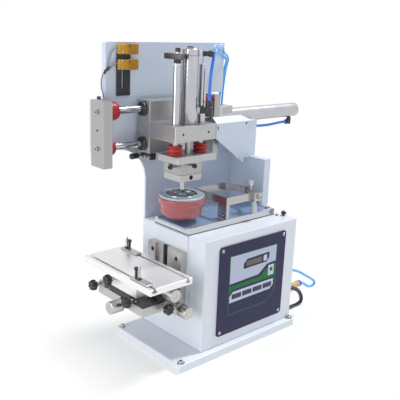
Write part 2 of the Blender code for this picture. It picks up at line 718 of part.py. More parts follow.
def tube(name, route, radius, finish, body):
    """An air line or cable along a smooth curve through the route's points."""
    curve = bpy.data.curves.new(name, "CURVE")
    curve.dimensions = "3D"
    curve.bevel_depth = radius
    curve.bevel_resolution = 2
    curve.use_fill_caps = True
    places = smooth_route(route, TUBE_STEP)
    spline = curve.splines.new("POLY")
    spline.points.add(len(places) - 1)
    for point, place in zip(spline.points, places):
        point.co = (*(place - places[0]), 1.0)
    curve.materials.append(material_of(finish))
    made = bpy.data.objects.new(name, curve)
    bpy.context.scene.collection.objects.link(made)
    made.parent = body
    made.location = places[0] - Vector(body["place"])
    return made


def make_base(frame):
    """The steel base plate."""
    half_width = BASE_WIDTH / 2
    half_depth = BASE_DEPTH / 2
    block("base_plate", (-half_width, half_width), (-half_depth, half_depth),
          (0, BASE_THICKNESS), WHITE_PAINT, frame, BASE_EDGE_RADIUS)


def make_cabinet(frame):
    """The sheet cabinet, open underneath, with a raised apron on its front."""
    cabinet = block("cabinet_shell", (CABINET_LEFT, CABINET_RIGHT), (CABINET_FRONT, CABINET_BACK),
                    (CABINET_FOOT, CABINET_TOP), WHITE_PAINT, frame, CABINET_EDGE_RADIUS)
    inside = block("cabinet_inside",
                   (CABINET_LEFT + CABINET_SHEET, CABINET_RIGHT - CABINET_SHEET),
                   (CABINET_FRONT + CABINET_SHEET, CABINET_BACK - CABINET_SHEET),
                   (CABINET_FOOT - OVERRUN, CABINET_TOP - CABINET_SHEET), None, frame)
    apron = block("cabinet_apron", (TRAY_LEFT, TRAY_RIGHT), (APRON_FRONT, CABINET_FRONT + LAP),
                  (BRACKET_FOOT, CABINET_TOP - CABINET_EDGE_RADIUS), None, frame)
    cut(cabinet, inside)
    join(cabinet, apron)


def make_control_panel(frame):
    """The panel sheet with a window for each key, and the keys and power button in them."""
    inner = CABINET_RIGHT + GAP
    outer = inner + PANEL_THICKNESS
    outline = rounded_outline((PANEL_FRONT, PANEL_FOOT), (PANEL_BACK, PANEL_TOP),
                              PANEL_CORNER_RADIUS)
    panel = sheet("control_panel", outline, "x", inner, outer, NAVY_PRINT, frame)
    key_back = inner + BUTTON_TRAVEL + GAP
    key_front = outer + BUTTON_STANDS_PROUD
    z = PANEL_FOOT + KEY_FROM_BOTTOM
    for index in range(KEY_COUNT):
        y = PANEL_FRONT + KEY_FIRST_FROM_FRONT + index * KEY_PITCH
        y_range = (y - KEY_LENGTH / 2, y + KEY_LENGTH / 2)
        z_range = (z - KEY_HEIGHT / 2, z + KEY_HEIGHT / 2)
        number = index + 1
        window = block(f"key_window_{number}", (inner - OVERRUN, outer + OVERRUN),
                       (y_range[0] - KEY_CLEARANCE, y_range[1] + KEY_CLEARANCE),
                       (z_range[0] - KEY_CLEARANCE, z_range[1] + KEY_CLEARANCE), None, frame)
        cut(panel, window)
        carrier = body_empty(f"key_{number}_press", (outer, y, z), frame)
        block(f"panel_key_{number}", (key_back, key_front), y_range, z_range, KEY_GREY, carrier)
    y = PANEL_BACK - POWER_FROM_BACK
    z = PANEL_FOOT + POWER_FROM_BOTTOM
    hole = rod("power_hole", (inner - OVERRUN, y, z), (1, 0, 0),
               PANEL_THICKNESS + 2 * OVERRUN, POWER_BUTTON_RADIUS + KEY_CLEARANCE, None, frame,
               SMALL_SIDES)
    cut(panel, hole)
    carrier = body_empty("power_press", (outer, y, z), frame)
    rod("power_button", (key_back, y, z), (1, 0, 0), key_front - key_back, POWER_BUTTON_RADIUS,
        BLACK_PLASTIC, carrier, SMALL_SIDES)


def make_side_wall(frame):
    """The C-shaped wall sheet that carries the head, cut away in front under its overhang."""
    throat_middle = (WALL_FRONT - THROAT_RADIUS, THROAT_TOP - THROAT_RADIUS)
    outline = [(WALL_FRONT, WALL_FOOT)]
    outline += arc(throat_middle, THROAT_RADIUS, 0, 90)
    outline += [
        (FRONT_PLATE_FRONT, THROAT_TOP),
        (FRONT_PLATE_FRONT, WALL_TOP),
        (REAR_PLATE_BACK, WALL_TOP),
        (REAR_PLATE_BACK, WALL_TOP - WALL_STEP_DOWN),
        (CABINET_BACK, WALL_TOP - WALL_STEP_DOWN),
        (CABINET_BACK, WALL_FOOT),
    ]
    sheet("side_wall", outline, "x", CABINET_LEFT, WALL_INNER, WHITE_PAINT, frame)


def make_rear_housing(frame):
    """The folded column on the cabinet's rear, and the cover that closes the drive's side."""
    left = WALL_INNER + GAP
    right = left + COLUMN_WIDTH
    column = block("rear_column", (left, right), (COLUMN_FRONT, CABINET_BACK),
                   (WALL_FOOT, COLUMN_TOP), WHITE_PAINT, frame)
    inside = block("column_inside", (left + HOUSING_SHEET, right - HOUSING_SHEET),
                   (COLUMN_FRONT + HOUSING_SHEET, CABINET_BACK - HOUSING_SHEET),
                   (WALL_FOOT - OVERRUN, COLUMN_TOP - HOUSING_SHEET), None, frame)
    neck_outer = COVER_OUTER - COVER_SHEET - GAP
    flange_foot = COVER_TOP - COVER_SHEET - GAP
    neck_side = block("neck_side", (neck_outer - HOUSING_SHEET, neck_outer),
                      (CABINET_BACK - NECK_PANEL_LENGTH, CABINET_BACK),
                      (COLUMN_TOP - HOUSING_SHEET, flange_foot), None, frame)
    neck_back = block("neck_back", (left, neck_outer),
                      (CABINET_BACK - HOUSING_SHEET, CABINET_BACK),
                      (COLUMN_TOP - HOUSING_SHEET, flange_foot - NECK_BACK_DROP), None, frame)
    cut(column, inside)
    join(column, neck_side, neck_back)

    front = CABINET_BACK - COVER_FRONT_FROM_BACK
    joint = CABINET_BACK - COVER_JOINT_FROM_BACK
    outline = [
        (front, COVER_TOP - COVER_FRONT_HEIGHT),
        (joint, COVER_TOP - COVER_JOINT_HEIGHT),
        (joint, COVER_TOP),
        (front, COVER_TOP),
    ]
    cover = sheet("rear_cover", outline, "x", COVER_OUTER - COVER_SHEET, COVER_OUTER,
                  WHITE_PAINT, frame)
    flange = block("cover_flange", (COVER_OUTER - COVER_FLANGE_WIDTH, COVER_OUTER),
                   (front, CABINET_BACK), (COVER_TOP - COVER_SHEET, COVER_TOP), None, frame)
    notch = block("cover_notch",
                  (COVER_OUTER - COVER_FLANGE_WIDTH - OVERRUN, PLATE_RIGHT + GAP),
                  (front - OVERRUN, REAR_PLATE_BACK + GAP),
                  (COVER_TOP - COVER_SHEET - OVERRUN, COVER_TOP + OVERRUN), None, frame)
    join(cover, flange)
    cut(cover, notch)


def make_upper_panel(frame):
    """The folded sheet above the wall, with the slotted bracket and the two stroke sensors."""
    back = UPPER_PANEL_FRONT + UPPER_PANEL_LENGTH
    outer = WALL_INNER
    inner = outer - UPPER_PANEL_FOLD
    radius = UPPER_PANEL_CORNER
    outline = [(back, UPPER_PANEL_FOOT), (back, UPPER_PANEL_TOP)]
    outline += arc((UPPER_PANEL_FRONT + radius, UPPER_PANEL_TOP - radius), radius, 90, 180, CORNER_STEPS)
    outline += [(UPPER_PANEL_FRONT, UPPER_PANEL_FOOT)]
    panel = sheet("upper_panel", outline, "x", inner, outer, WHITE_PAINT, frame)
    pocket = block("upper_panel_pocket", (inner - OVERRUN, outer - UPPER_PANEL_SHEET),
                   (UPPER_PANEL_FRONT + UPPER_PANEL_SHEET, back - UPPER_PANEL_SHEET),
                   (UPPER_PANEL_FOOT + UPPER_PANEL_SHEET, UPPER_PANEL_TOP - UPPER_PANEL_SHEET),
                   None, frame)
    cut(panel, pocket)

    foot = UPPER_PANEL_FOOT + SENSOR_BRACKET_FROM_FOOT
    top = foot + SENSOR_BRACKET_HEIGHT
    front = UPPER_PANEL_FRONT + SENSOR_BRACKET_FROM_FRONT
    slot_y = front + SENSOR_BRACKET_LENGTH / 2 - SENSOR_SLOT_WIDTH / 2
    face = WALL_INNER + GAP
    bracket = block("sensor_bracket", (face, BRACKET_PLATE_OUTER),
                    (front, front + SENSOR_BRACKET_LENGTH), (foot, top), BLACK_STEEL, frame)
    slot = block("sensor_slot", (face - OVERRUN, BRACKET_PLATE_OUTER + OVERRUN),
                 (slot_y - SENSOR_SLOT_WIDTH / 2, slot_y + SENSOR_SLOT_WIDTH / 2),
                 (foot + SENSOR_SLOT_MARGIN, top - SENSOR_SLOT_MARGIN), None, frame)
    cut(bracket, slot)

    sensor_top = UPPER_PANEL_TOP - UPPER_SENSOR_FROM_TOP
    start = BRACKET_PLATE_OUTER + GAP
    for index, name in enumerate(("stroke_sensor_upper", "stroke_sensor_lower")):
        high = sensor_top - index * SENSOR_PITCH
        low = high - SENSOR_HEIGHT
        sensor = block(name, (start, start + SENSOR_THICKNESS),
                       (front + SENSOR_EAR_LENGTH, front + SENSOR_LENGTH), (low, high),
                       SENSOR_AMBER, frame)
        ear = block(f"{name}_ear", (start, start + SENSOR_EAR_THICKNESS),
                    (front, front + SENSOR_EAR_LENGTH + LAP),
                    (low + LAP / 2, high - LAP / 2), None, frame)
        join(sensor, ear)


def make_rails(frame):
    """The two end plates, the two rails and the rubber bumpers on them."""
    places = {"upper": UPPER_RAIL_Z, "lower": LOWER_RAIL_Z}
    front = block("rail_plate_front", (PLATE_LEFT, PLATE_RIGHT),
                  (FRONT_PLATE_FRONT, FRONT_PLATE_BACK), (PLATE_FOOT, WALL_TOP),
                  ALUMINIUM, frame)
    rear = block("rail_plate_rear", (PLATE_LEFT, PLATE_RIGHT),
                 (REAR_PLATE_FRONT, REAR_PLATE_BACK), (PLATE_FOOT, WALL_TOP), ALUMINIUM, frame)
    seat = FRONT_PLATE_THICKNESS / 2
    for name, z in places.items():
        start = FRONT_PLATE_FRONT + seat
        length = REAR_PLATE_FRONT + REAR_PLATE_THICKNESS / 2 - start
        hole = rod(f"rail_seat_{name}", (RAIL_X, start - GAP, z), (0, 1, 0),
                   length + 2 * GAP, RAIL_RADIUS + RUNNING_FIT, None, frame)
        cut(front, hole)
        cut(rear, hole)
        rod(f"rail_rod_{name}", (RAIL_X, start, z), (0, 1, 0), length, RAIL_RADIUS, STEEL, frame)
    way = rod("shuttle_rod_way", (SHUTTLE_X, REAR_PLATE_FRONT - OVERRUN, SHUTTLE_Z), (0, 1, 0),
              REAR_PLATE_THICKNESS + 2 * OVERRUN, SHUTTLE_BORE_RADIUS, None, frame)
    cut(rear, way)

    bore = RAIL_RADIUS + RUNNING_FIT
    sizes = [
        ("bumper_front_upper", UPPER_RAIL_Z, UPPER_BUMPER_RADIUS, UPPER_BUMPER_LENGTH, 1),
        ("bumper_front_lower", LOWER_RAIL_Z, LOWER_BUMPER_RADIUS, LOWER_BUMPER_LENGTH, 1),
        ("bumper_rear_upper", UPPER_RAIL_Z, REAR_BUMPER_RADIUS, REAR_BUMPER_LENGTH, -1),
    ]
    for name, z, radius, length, way_out in sizes:
        profile = [(bore, 0), (radius, 0)]
        straight = length * (1 - BUMPER_CROWN_SHARE)
        crown = length * BUMPER_CROWN_SHARE
        for step in range(BUMPER_STEPS):
            turn = math.pi / 2 * step / BUMPER_STEPS
            reach = (radius - bore) * BUMPER_CROWN_SHARE
            profile.append((radius - reach * (1 - math.cos(turn)),
                            straight + crown * math.sin(turn)))
        profile += [(bore, length), (bore, 0)]
        plate_face = FRONT_PLATE_BACK + GAP if way_out > 0 else REAR_PLATE_FRONT - GAP
        turned(name, (RAIL_X, plate_face, z), (0, way_out, 0), profile, RED_RUBBER, frame)


def make_shuttle(frame, head):
    """The cylinder behind the rear plate, and its piston rod, which pulls the carriage."""
    direction = (0, 1, 0)
    start = (SHUTTLE_X, SHUTTLE_START, SHUTTLE_Z)
    cap = SHUTTLE_CAP_LENGTH
    groove = LIFT_CAP_GROOVE
    radius = SHUTTLE_BARREL_RADIUS
    profile = [
        (0, 0),
        (radius, 0),
        (radius, SHUTTLE_LENGTH - cap - groove),
        (radius - groove, SHUTTLE_LENGTH - cap),
        (radius, SHUTTLE_LENGTH - cap + groove),
        (radius, SHUTTLE_LENGTH - 3 * groove),
        (radius - 3 * groove, SHUTTLE_LENGTH),
        (0, SHUTTLE_LENGTH),
    ]
    cylinder = turned("shuttle_cylinder", start, direction, profile, ALUMINIUM, frame)
    bore = rod("shuttle_bore", (SHUTTLE_X, SHUTTLE_START - OVERRUN, SHUTTLE_Z), direction,
               SHUTTLE_BORE_DEPTH + OVERRUN, SHUTTLE_BORE_RADIUS, None, frame, SMALL_SIDES)
    top = SHUTTLE_Z + MOUNT_BLOCK_RISE
    mount = block("shuttle_mount", (RAIL_X - MOUNT_BLOCK_WIDTH / 2, RAIL_X + MOUNT_BLOCK_WIDTH / 2),
                  (SHUTTLE_START, SHUTTLE_START + MOUNT_BLOCK_LENGTH),
                  (top, top + MOUNT_BLOCK_HEIGHT), None, frame)
    elbow_y = SHUTTLE_END - SHUTTLE_ELBOW_FROM_END
    drop = radius + SHUTTLE_ELBOW_DROP
    elbow_foot = SHUTTLE_Z - drop
    stem = rod("shuttle_elbow_stem", (SHUTTLE_X, elbow_y, elbow_foot), (0, 0, 1), drop,
               SHUTTLE_ELBOW_RADIUS, None, frame, SMALL_SIDES)
    arm = rod("shuttle_elbow_arm",
              (SHUTTLE_X, elbow_y - SHUTTLE_ELBOW_REACH, elbow_foot + SHUTTLE_ELBOW_RADIUS),
              direction, SHUTTLE_ELBOW_REACH, SHUTTLE_ELBOW_ARM_RADIUS, None, frame,
              SMALL_SIDES)
    join(cylinder, mount, stem, arm)
    cut(cylinder, bore)

    rod_start = CARRIAGE_BACK + GAP
    rod("shuttle_piston_rod", (SHUTTLE_X, rod_start, SHUTTLE_Z), direction,
        SHUTTLE_START + SHUTTLE_ROD_INSIDE - rod_start, SHUTTLE_ROD_RADIUS, STEEL, head,
        SMALL_SIDES)

    line_z = elbow_foot + SHUTTLE_ELBOW_RADIUS
    line_start = elbow_y - SHUTTLE_ELBOW_REACH - GAP
    line_end = CABINET_BACK + GAP
    run = line_start - line_end
    sag = TUBE_RADIUS
    route = [
        (line_start, line_z),
        (line_start - run / 8, line_z),
        (line_start - run / 2, line_z - sag),
        (line_end + run / 8, line_z - sag / 2),
        (line_end, line_z - sag / 2),
    ]
    tube("shuttle_air_tube", [Vector((SHUTTLE_X, y, z)) for y, z in route], TUBE_RADIUS,
         BLUE_TUBE, frame)


def make_carriage(head):
    """The bored carriage that rides on both rails, with a seal at each end of each bore."""
    carriage = block("carriage_housing", (CARRIAGE_LEFT, PLATE_RIGHT),
                     (CARRIAGE_FRONT, CARRIAGE_BACK), (CARRIAGE_FOOT, CARRIAGE_TOP),
                     ALUMINIUM, head, CARRIAGE_EDGE_RADIUS)
    length = CARRIAGE_LENGTH + 2 * SEAL_THICKNESS
    for name, z in (("upper", UPPER_RAIL_Z), ("lower", LOWER_RAIL_Z)):
        seals = rod(f"seal_{name}", (RAIL_X, CARRIAGE_FRONT - SEAL_THICKNESS, z), (0, 1, 0),
                    length, SEAL_RADIUS, None, head)
        way = rod(f"rail_way_{name}", (RAIL_X, CARRIAGE_FRONT - SEAL_THICKNESS - OVERRUN, z),
                  (0, 1, 0), length + 2 * OVERRUN, RAIL_RADIUS + RUNNING_FIT, None, head)
        join(carriage, seals)
        cut(carriage, way)
    valve = block("pilot_valve", (PLATE_RIGHT - VALVE_BODY_WIDTH, PLATE_RIGHT - LAP),
                  (CARRIAGE_FRONT + VALVE_FROM_FRONT,
                   CARRIAGE_FRONT + VALVE_FROM_FRONT + VALVE_BODY_DEPTH),
                  (CARRIAGE_FOOT - VALVE_BODY_HEIGHT, CARRIAGE_FOOT + LAP), None, head)
    join(carriage, valve)


def make_head_block(head):
    """The head block, bored for the two guide rods and the piston rod that slide in it."""
    head_block = block("head_block", (BLOCK_LEFT, BLOCK_RIGHT), (CARRIAGE_FRONT, CARRIAGE_BACK),
                       (BLOCK_FOOT, BLOCK_TOP), ALUMINIUM, head, HEAD_BLOCK_EDGE_RADIUS)
    middle_way = rod("piston_way", (LIFT_X, LIFT_Y, BLOCK_FOOT - OVERRUN), (0, 0, 1),
                     HEAD_BLOCK_THICKNESS + 2 * OVERRUN, PISTON_ROD_RADIUS + RUNNING_FIT, None,
                     head, SMALL_SIDES)
    for name, y in (("front", FRONT_GUIDE_Y), ("rear", REAR_GUIDE_Y)):
        way = rod(f"guide_way_{name}", (LIFT_X, y, BLOCK_FOOT - OVERRUN), (0, 0, 1),
                  HEAD_BLOCK_THICKNESS + 2 * OVERRUN, GUIDE_ROD_RADIUS + RUNNING_FIT, None, head)
        clamp_hole = rod(f"clamp_hole_{name}",
                         (BLOCK_RIGHT - CLAMP_HOLE_DEPTH, y, (BLOCK_FOOT + BLOCK_TOP) / 2),
                         (1, 0, 0), CLAMP_HOLE_DEPTH + OVERRUN, CLAMP_HOLE_RADIUS, None, head,
                         SMALL_SIDES)
        cut(head_block, way, clamp_hole)
    cut(head_block, middle_way)


def make_lift_cylinder(head):
    """The upright air cylinder on the head block, its two elbows and the air line to the panel."""
    radius = LIFT_BARREL_RADIUS
    groove = LIFT_CAP_GROOVE
    cap = LIFT_CAP_HEIGHT
    height = LIFT_BARREL_HEIGHT
    profile = [
        (0, 0),
        (radius, 0),
        (radius, height - cap - groove),
        (radius - groove, height - cap),
        (radius, height - cap + groove),
        (radius, height - groove),
        (radius - groove, height),
        (0, height),
    ]
    foot = BLOCK_TOP + GAP
    barrel = turned("lift_cylinder", (LIFT_X, LIFT_Y, foot), (0, 0, 1), profile, ALUMINIUM,
                    head, LARGE_SIDES)
    bore = rod("lift_bore", (LIFT_X, LIFT_Y, foot - OVERRUN), (0, 0, 1),
               height / 2 + OVERRUN, PISTON_ROD_RADIUS + RUNNING_FIT, None, head, SMALL_SIDES)
    out = Vector((math.sin(ELBOW_TURN), math.cos(ELBOW_TURN), 0))
    high_z = BARREL_TOP - UPPER_ELBOW_FROM_TOP
    high = rod("upper_elbow", (LIFT_X, LIFT_Y, high_z), out, ELBOW_REACH, ELBOW_BARREL_RADIUS,
               None, head, SMALL_SIDES)
    low_z = foot + LOWER_ELBOW_ABOVE_BLOCK
    low = rod("lower_elbow", (LIFT_X, LIFT_Y, low_z), out, ELBOW_REACH, ELBOW_BARREL_RADIUS,
              None, head, SMALL_SIDES)
    line_x = LIFT_X + ELBOW_REACH * out.x
    line_y = LIFT_Y + ELBOW_REACH * out.y
    rise = rod("lower_elbow_rise", (line_x, line_y, low_z - ELBOW_COLLAR_RADIUS), (0, 0, 1),
               LOWER_ELBOW_RISE + ELBOW_COLLAR_RADIUS, ELBOW_COLLAR_RADIUS, None, head,
               SMALL_SIDES)
    join(barrel, high, low, rise)
    cut(barrel, bore)

    line_z = low_z + LOWER_ELBOW_RISE + GAP
    route = route_from((line_x, line_y, line_z), [
        (0, 0, 0), (0, 0, 15), (1, 0, 45), (-2, 8, 75), (-12, 18, 88), (-30, 36, 92), (-50, 60, 94),
    ])
    hand_over = (PLATE_LEFT + HEAD_BLOCK_THICKNESS, line_y, line_z)
    route += route_from(hand_over, [(14, 92, 86), (6, 98, 84), (0, 98, 84)])
    tube("lift_air_line", route, TUBE_RADIUS, BLUE_TUBE, head)
    return route[-1]


def make_panel_air_line(frame, hand_over):
    """The fixed stretch of the air line: round the upper panel's rear edge and into the wall."""
    start = hand_over - Vector((2 * GAP, 0, 0))
    panel_end = Vector((start.x, UPPER_PANEL_FRONT + UPPER_PANEL_LENGTH, start.z))
    middle = (start + panel_end) / 2
    route = route_from(start, [(0, 0, 0), (-5, 0, 0)])
    route += route_from(middle, [(-16, -2, -7)])
    route += route_from(panel_end, [(-27, 7, -21), (-36, 10, -42), (-42, 7, -85), (-43, 4, -140),
                                    (-40, 1, -165)])
    wall = Vector((CABINET_LEFT, panel_end.y, start.z))
    route += route_from(wall, [(-10, 1, -172)])
    route.append(route[-1] + Vector((10 * ROUTE_UNIT - GAP, 0, 0)))
    tube("panel_air_line", route, TUBE_RADIUS, CYAN_TUBE, frame)


def make_slide_plate(slide):
    """The plate that the lift cylinder moves, with its rods, buffers and trip bar."""
    plate = block("slide_plate",
                  (LIFT_X - SLIDE_PLATE_WIDTH / 2, LIFT_X + SLIDE_PLATE_WIDTH / 2),
                  (LIFT_Y - SLIDE_PLATE_LENGTH / 2, LIFT_Y + SLIDE_PLATE_LENGTH / 2),
                  (SLIDE_PLATE_FOOT, SLIDE_PLATE_TOP), ALUMINIUM, slide, HEAD_BLOCK_EDGE_RADIUS)
    piston_top = BLOCK_TOP + LIFT_BARREL_HEIGHT / 3
    piston = rod("lift_piston_rod", (LIFT_X, LIFT_Y, SLIDE_PLATE_TOP - LAP), (0, 0, 1),
                 piston_top - SLIDE_PLATE_TOP + LAP, PISTON_ROD_RADIUS, None, slide, SMALL_SIDES)
    join(plate, piston)

    start = SLIDE_PLATE_TOP + GAP
    neck = BLOCK_FOOT + GUIDE_NECK_IN_BLOCK - start
    shoulder = GUIDE_TOP - start
    bar_foot = GUIDE_TOP + TRIP_BAR_ABOVE_GUIDE
    collar = bar_foot - TRIP_NUT_HEIGHT - GAP - start
    guides = [
        ("lift_rod_front", FRONT_GUIDE_Y, GUIDE_COLLAR_RADIUS, collar),
        ("lift_rod_rear", REAR_GUIDE_Y, REAR_STUB_RADIUS, shoulder + REAR_GUIDE_STUB),
    ]
    for name, y, end_radius, end in guides:
        turned(name, (LIFT_X, y, start), (0, 0, 1), [
            (0, 0),
            (GUIDE_NECK_RADIUS, 0),
            (GUIDE_NECK_RADIUS, neck),
            (GUIDE_ROD_RADIUS, neck),
            (GUIDE_ROD_RADIUS, shoulder),
            (end_radius, shoulder),
            (end_radius, end),
            (0, end),
        ], STEEL, slide)

    waist = BUFFER_WAIST_RADIUS
    wide = BUFFER_RADIUS
    bore = GUIDE_NECK_RADIUS + RUNNING_FIT
    rib = BUFFER_HEIGHT / 6
    profile = [(bore, 0), (wide - rib / 2, 0), (wide, rib / 2), (wide, 2 * rib),
               (waist, 3 * rib), (wide, 4 * rib), (wide, BUFFER_HEIGHT - rib / 2),
               (wide - rib / 2, BUFFER_HEIGHT), (bore, BUFFER_HEIGHT), (bore, 0)]
    for name, y in (("buffer_front", FRONT_GUIDE_Y), ("buffer_rear", REAR_GUIDE_Y)):
        turned(name, (LIFT_X, y, start), (0, 0, 1), profile, RED_RUBBER, slide)

    bar = block("trip_bar",
                (LIFT_X - TRIP_BAR_BEHIND_ROD, LIFT_X - TRIP_BAR_BEHIND_ROD + TRIP_BAR_LENGTH),
                (FRONT_GUIDE_Y - TRIP_BAR_WIDTH / 2, FRONT_GUIDE_Y + TRIP_BAR_WIDTH / 2),
                (bar_foot, bar_foot + TRIP_BAR_HEIGHT), BLACK_STEEL, slide)
    nut_profile = [
        (0, -TRIP_NUT_HEIGHT),
        (TRIP_NUT_RADIUS, -TRIP_NUT_HEIGHT),
        (TRIP_NUT_RADIUS, LAP),
        (REAR_STUB_RADIUS * 2, LAP),
        (REAR_STUB_RADIUS * 2, TRIP_BAR_HEIGHT + TRIP_SPACER_HEIGHT),
        (TRIP_KNOB_RADIUS, TRIP_BAR_HEIGHT + TRIP_SPACER_HEIGHT),
        (TRIP_KNOB_RADIUS, TRIP_BAR_HEIGHT + TRIP_SPACER_HEIGHT + TRIP_KNOB_HEIGHT),
        (0, TRIP_BAR_HEIGHT + TRIP_SPACER_HEIGHT + TRIP_KNOB_HEIGHT),
    ]
    nut = turned("trip_nut", (LIFT_X, FRONT_GUIDE_Y, bar_foot), (0, 0, 1), nut_profile, None,
                 slide, SMALL_SIDES)
    join(bar, nut)


def make_pad(slide):
    """The slide block, the pad holder, the pad's metal mount and the silicone pad."""
    x = (PAD_X - SLIDE_BLOCK_WIDTH / 2, PAD_X + SLIDE_BLOCK_WIDTH / 2)
    y = (LIFT_Y - SLIDE_BLOCK_LENGTH / 2, LIFT_Y + SLIDE_BLOCK_LENGTH / 2)
    slide_top = SLIDE_BLOCK_FOOT + SLIDE_BLOCK_HEIGHT
    slide_block = block("slide_block", x, y, (SLIDE_BLOCK_FOOT, slide_top), ALUMINIUM, slide)
    slot_z = slide_top - SLIDE_BLOCK_HEIGHT / 3
    slot_range = (slot_z - SLIDE_SLOT_HEIGHT / 2, slot_z + SLIDE_SLOT_HEIGHT / 2)
    front_slot = block("front_slot",
                       (PAD_X - SLIDE_SLOT_LENGTH, PAD_X), (y[0] - OVERRUN, y[0] + OVERRUN),
                       slot_range, None, slide)
    side_slot = block("side_slot", (x[1] - OVERRUN, x[1] + OVERRUN),
                      (LIFT_Y, LIFT_Y + SLIDE_SLOT_LENGTH), slot_range, None, slide)
    cut(slide_block, front_slot, side_slot)

    holder_top = HOLDER_FOOT + PAD_HOLDER_HEIGHT
    holder = block("pad_holder", x, y, (HOLDER_FOOT, holder_top), ALUMINIUM, slide)
    socket = rod("holder_socket",
                 (x[1] - HOLDER_SOCKET_DEPTH, LIFT_Y, (HOLDER_FOOT + holder_top) / 2), (1, 0, 0),
                 HOLDER_SOCKET_DEPTH + OVERRUN, HOLDER_SOCKET_RADIUS, None, slide, SMALL_SIDES)
    cut(holder, socket)

    disc = PAD_DISC_THICKNESS
    stem_top = disc + PAD_STEM_LENGTH
    mount_profile = [
        (0, 0),
        (PAD_DISC_RADIUS, 0),
        (PAD_DISC_RADIUS, disc),
        (PAD_DISC_RECESS_RADIUS, disc),
        (PAD_DISC_RECESS_RADIUS, disc - PAD_DISC_RECESS_DEPTH),
        (PAD_STEM_RADIUS, disc - PAD_DISC_RECESS_DEPTH),
        (PAD_STEM_RADIUS, stem_top),
        (0, stem_top),
    ]
    turned("pad_mount", (PAD_X, LIFT_Y, PAD_TOP), (0, 0, 1), mount_profile, STAINLESS, slide,
           LARGE_SIDES)

    flange_foot = -PAD_FLANGE_HEIGHT
    lip = PAD_FLANGE_RADIUS - PAD_BODY_RADIUS
    pad_profile = [
        (0, 0),
        (PAD_FLANGE_RADIUS, 0),
        (PAD_FLANGE_RADIUS, flange_foot),
        (PAD_BODY_RADIUS, flange_foot - lip / 2),
    ]
    shoulder = -PAD_HEIGHT * PAD_SHOULDER_SHARE
    depth = PAD_HEIGHT + shoulder
    for step in range(PAD_CROWN_STEPS):
        turn = math.pi / 2 * step / PAD_CROWN_STEPS
        pad_profile.append((PAD_BODY_RADIUS * math.cos(turn), shoulder - depth * math.sin(turn)))
    pad_profile.append((0, -PAD_HEIGHT))
    turned("silicone_pad", (PAD_X, LIFT_Y, PAD_TOP - GAP), (0, 0, 1), pad_profile[::-1],
           SILICONE, slide, LARGE_SIDES)


def make_tray(frame):
    """The ink tray with a rail along each side, and the etched printing plate between them."""
    tray = block("ink_tray", (TRAY_LEFT, TRAY_RIGHT), (TRAY_FRONT, TRAY_BACK),
                 (TRAY_FOOT, TRAY_TOP), STAINLESS, frame)
    plate_left = TRAY_LEFT + TRAY_RAIL_WIDTH
    plate_right = TRAY_RIGHT - TRAY_RAIL_WIDTH
    bed = block("plate_bed", (plate_left, plate_right),
                (TRAY_FRONT - OVERRUN, TRAY_BACK - TRAY_RAIL_WIDTH),
                (TRAY_FLOOR_TOP, TRAY_TOP + OVERRUN), None, frame)
    cut(tray, bed)
    block("printing_plate", (plate_left + GAP, plate_right - GAP),
          (TRAY_FRONT, TRAY_BACK - TRAY_RAIL_WIDTH - GAP), (TRAY_FLOOR_TOP + GAP, PLATE_TOP),
          PLATE_BLUE, frame)


def holder_outline(inset):
    """The cup holder's loop of strip, seen from above: straight sides and a bowed rear."""
    left = TRAY_LEFT + HOLDER_LEFT_INSET + inset
    right = TRAY_RIGHT - HOLDER_RIGHT_INSET - inset
    front = TRAY_FRONT + HOLDER_FROM_TRAY_FRONT + inset
    rear = TRAY_FRONT + HOLDER_FROM_TRAY_FRONT + HOLDER_LENGTH - inset
    outline = [(left, front), (right, front), (right, rear)]
    start = right - HOLDER_CORNER_LENGTH
    end = left + HOLDER_CORNER_LENGTH
    for step in range(ARC_STEPS + 1):
        share = step / ARC_STEPS
        outline.append((start + (end - start) * share,
                        rear + HOLDER_BACK_BULGE * math.sin(math.pi * share)))
    outline.append((left, rear))
    return outline


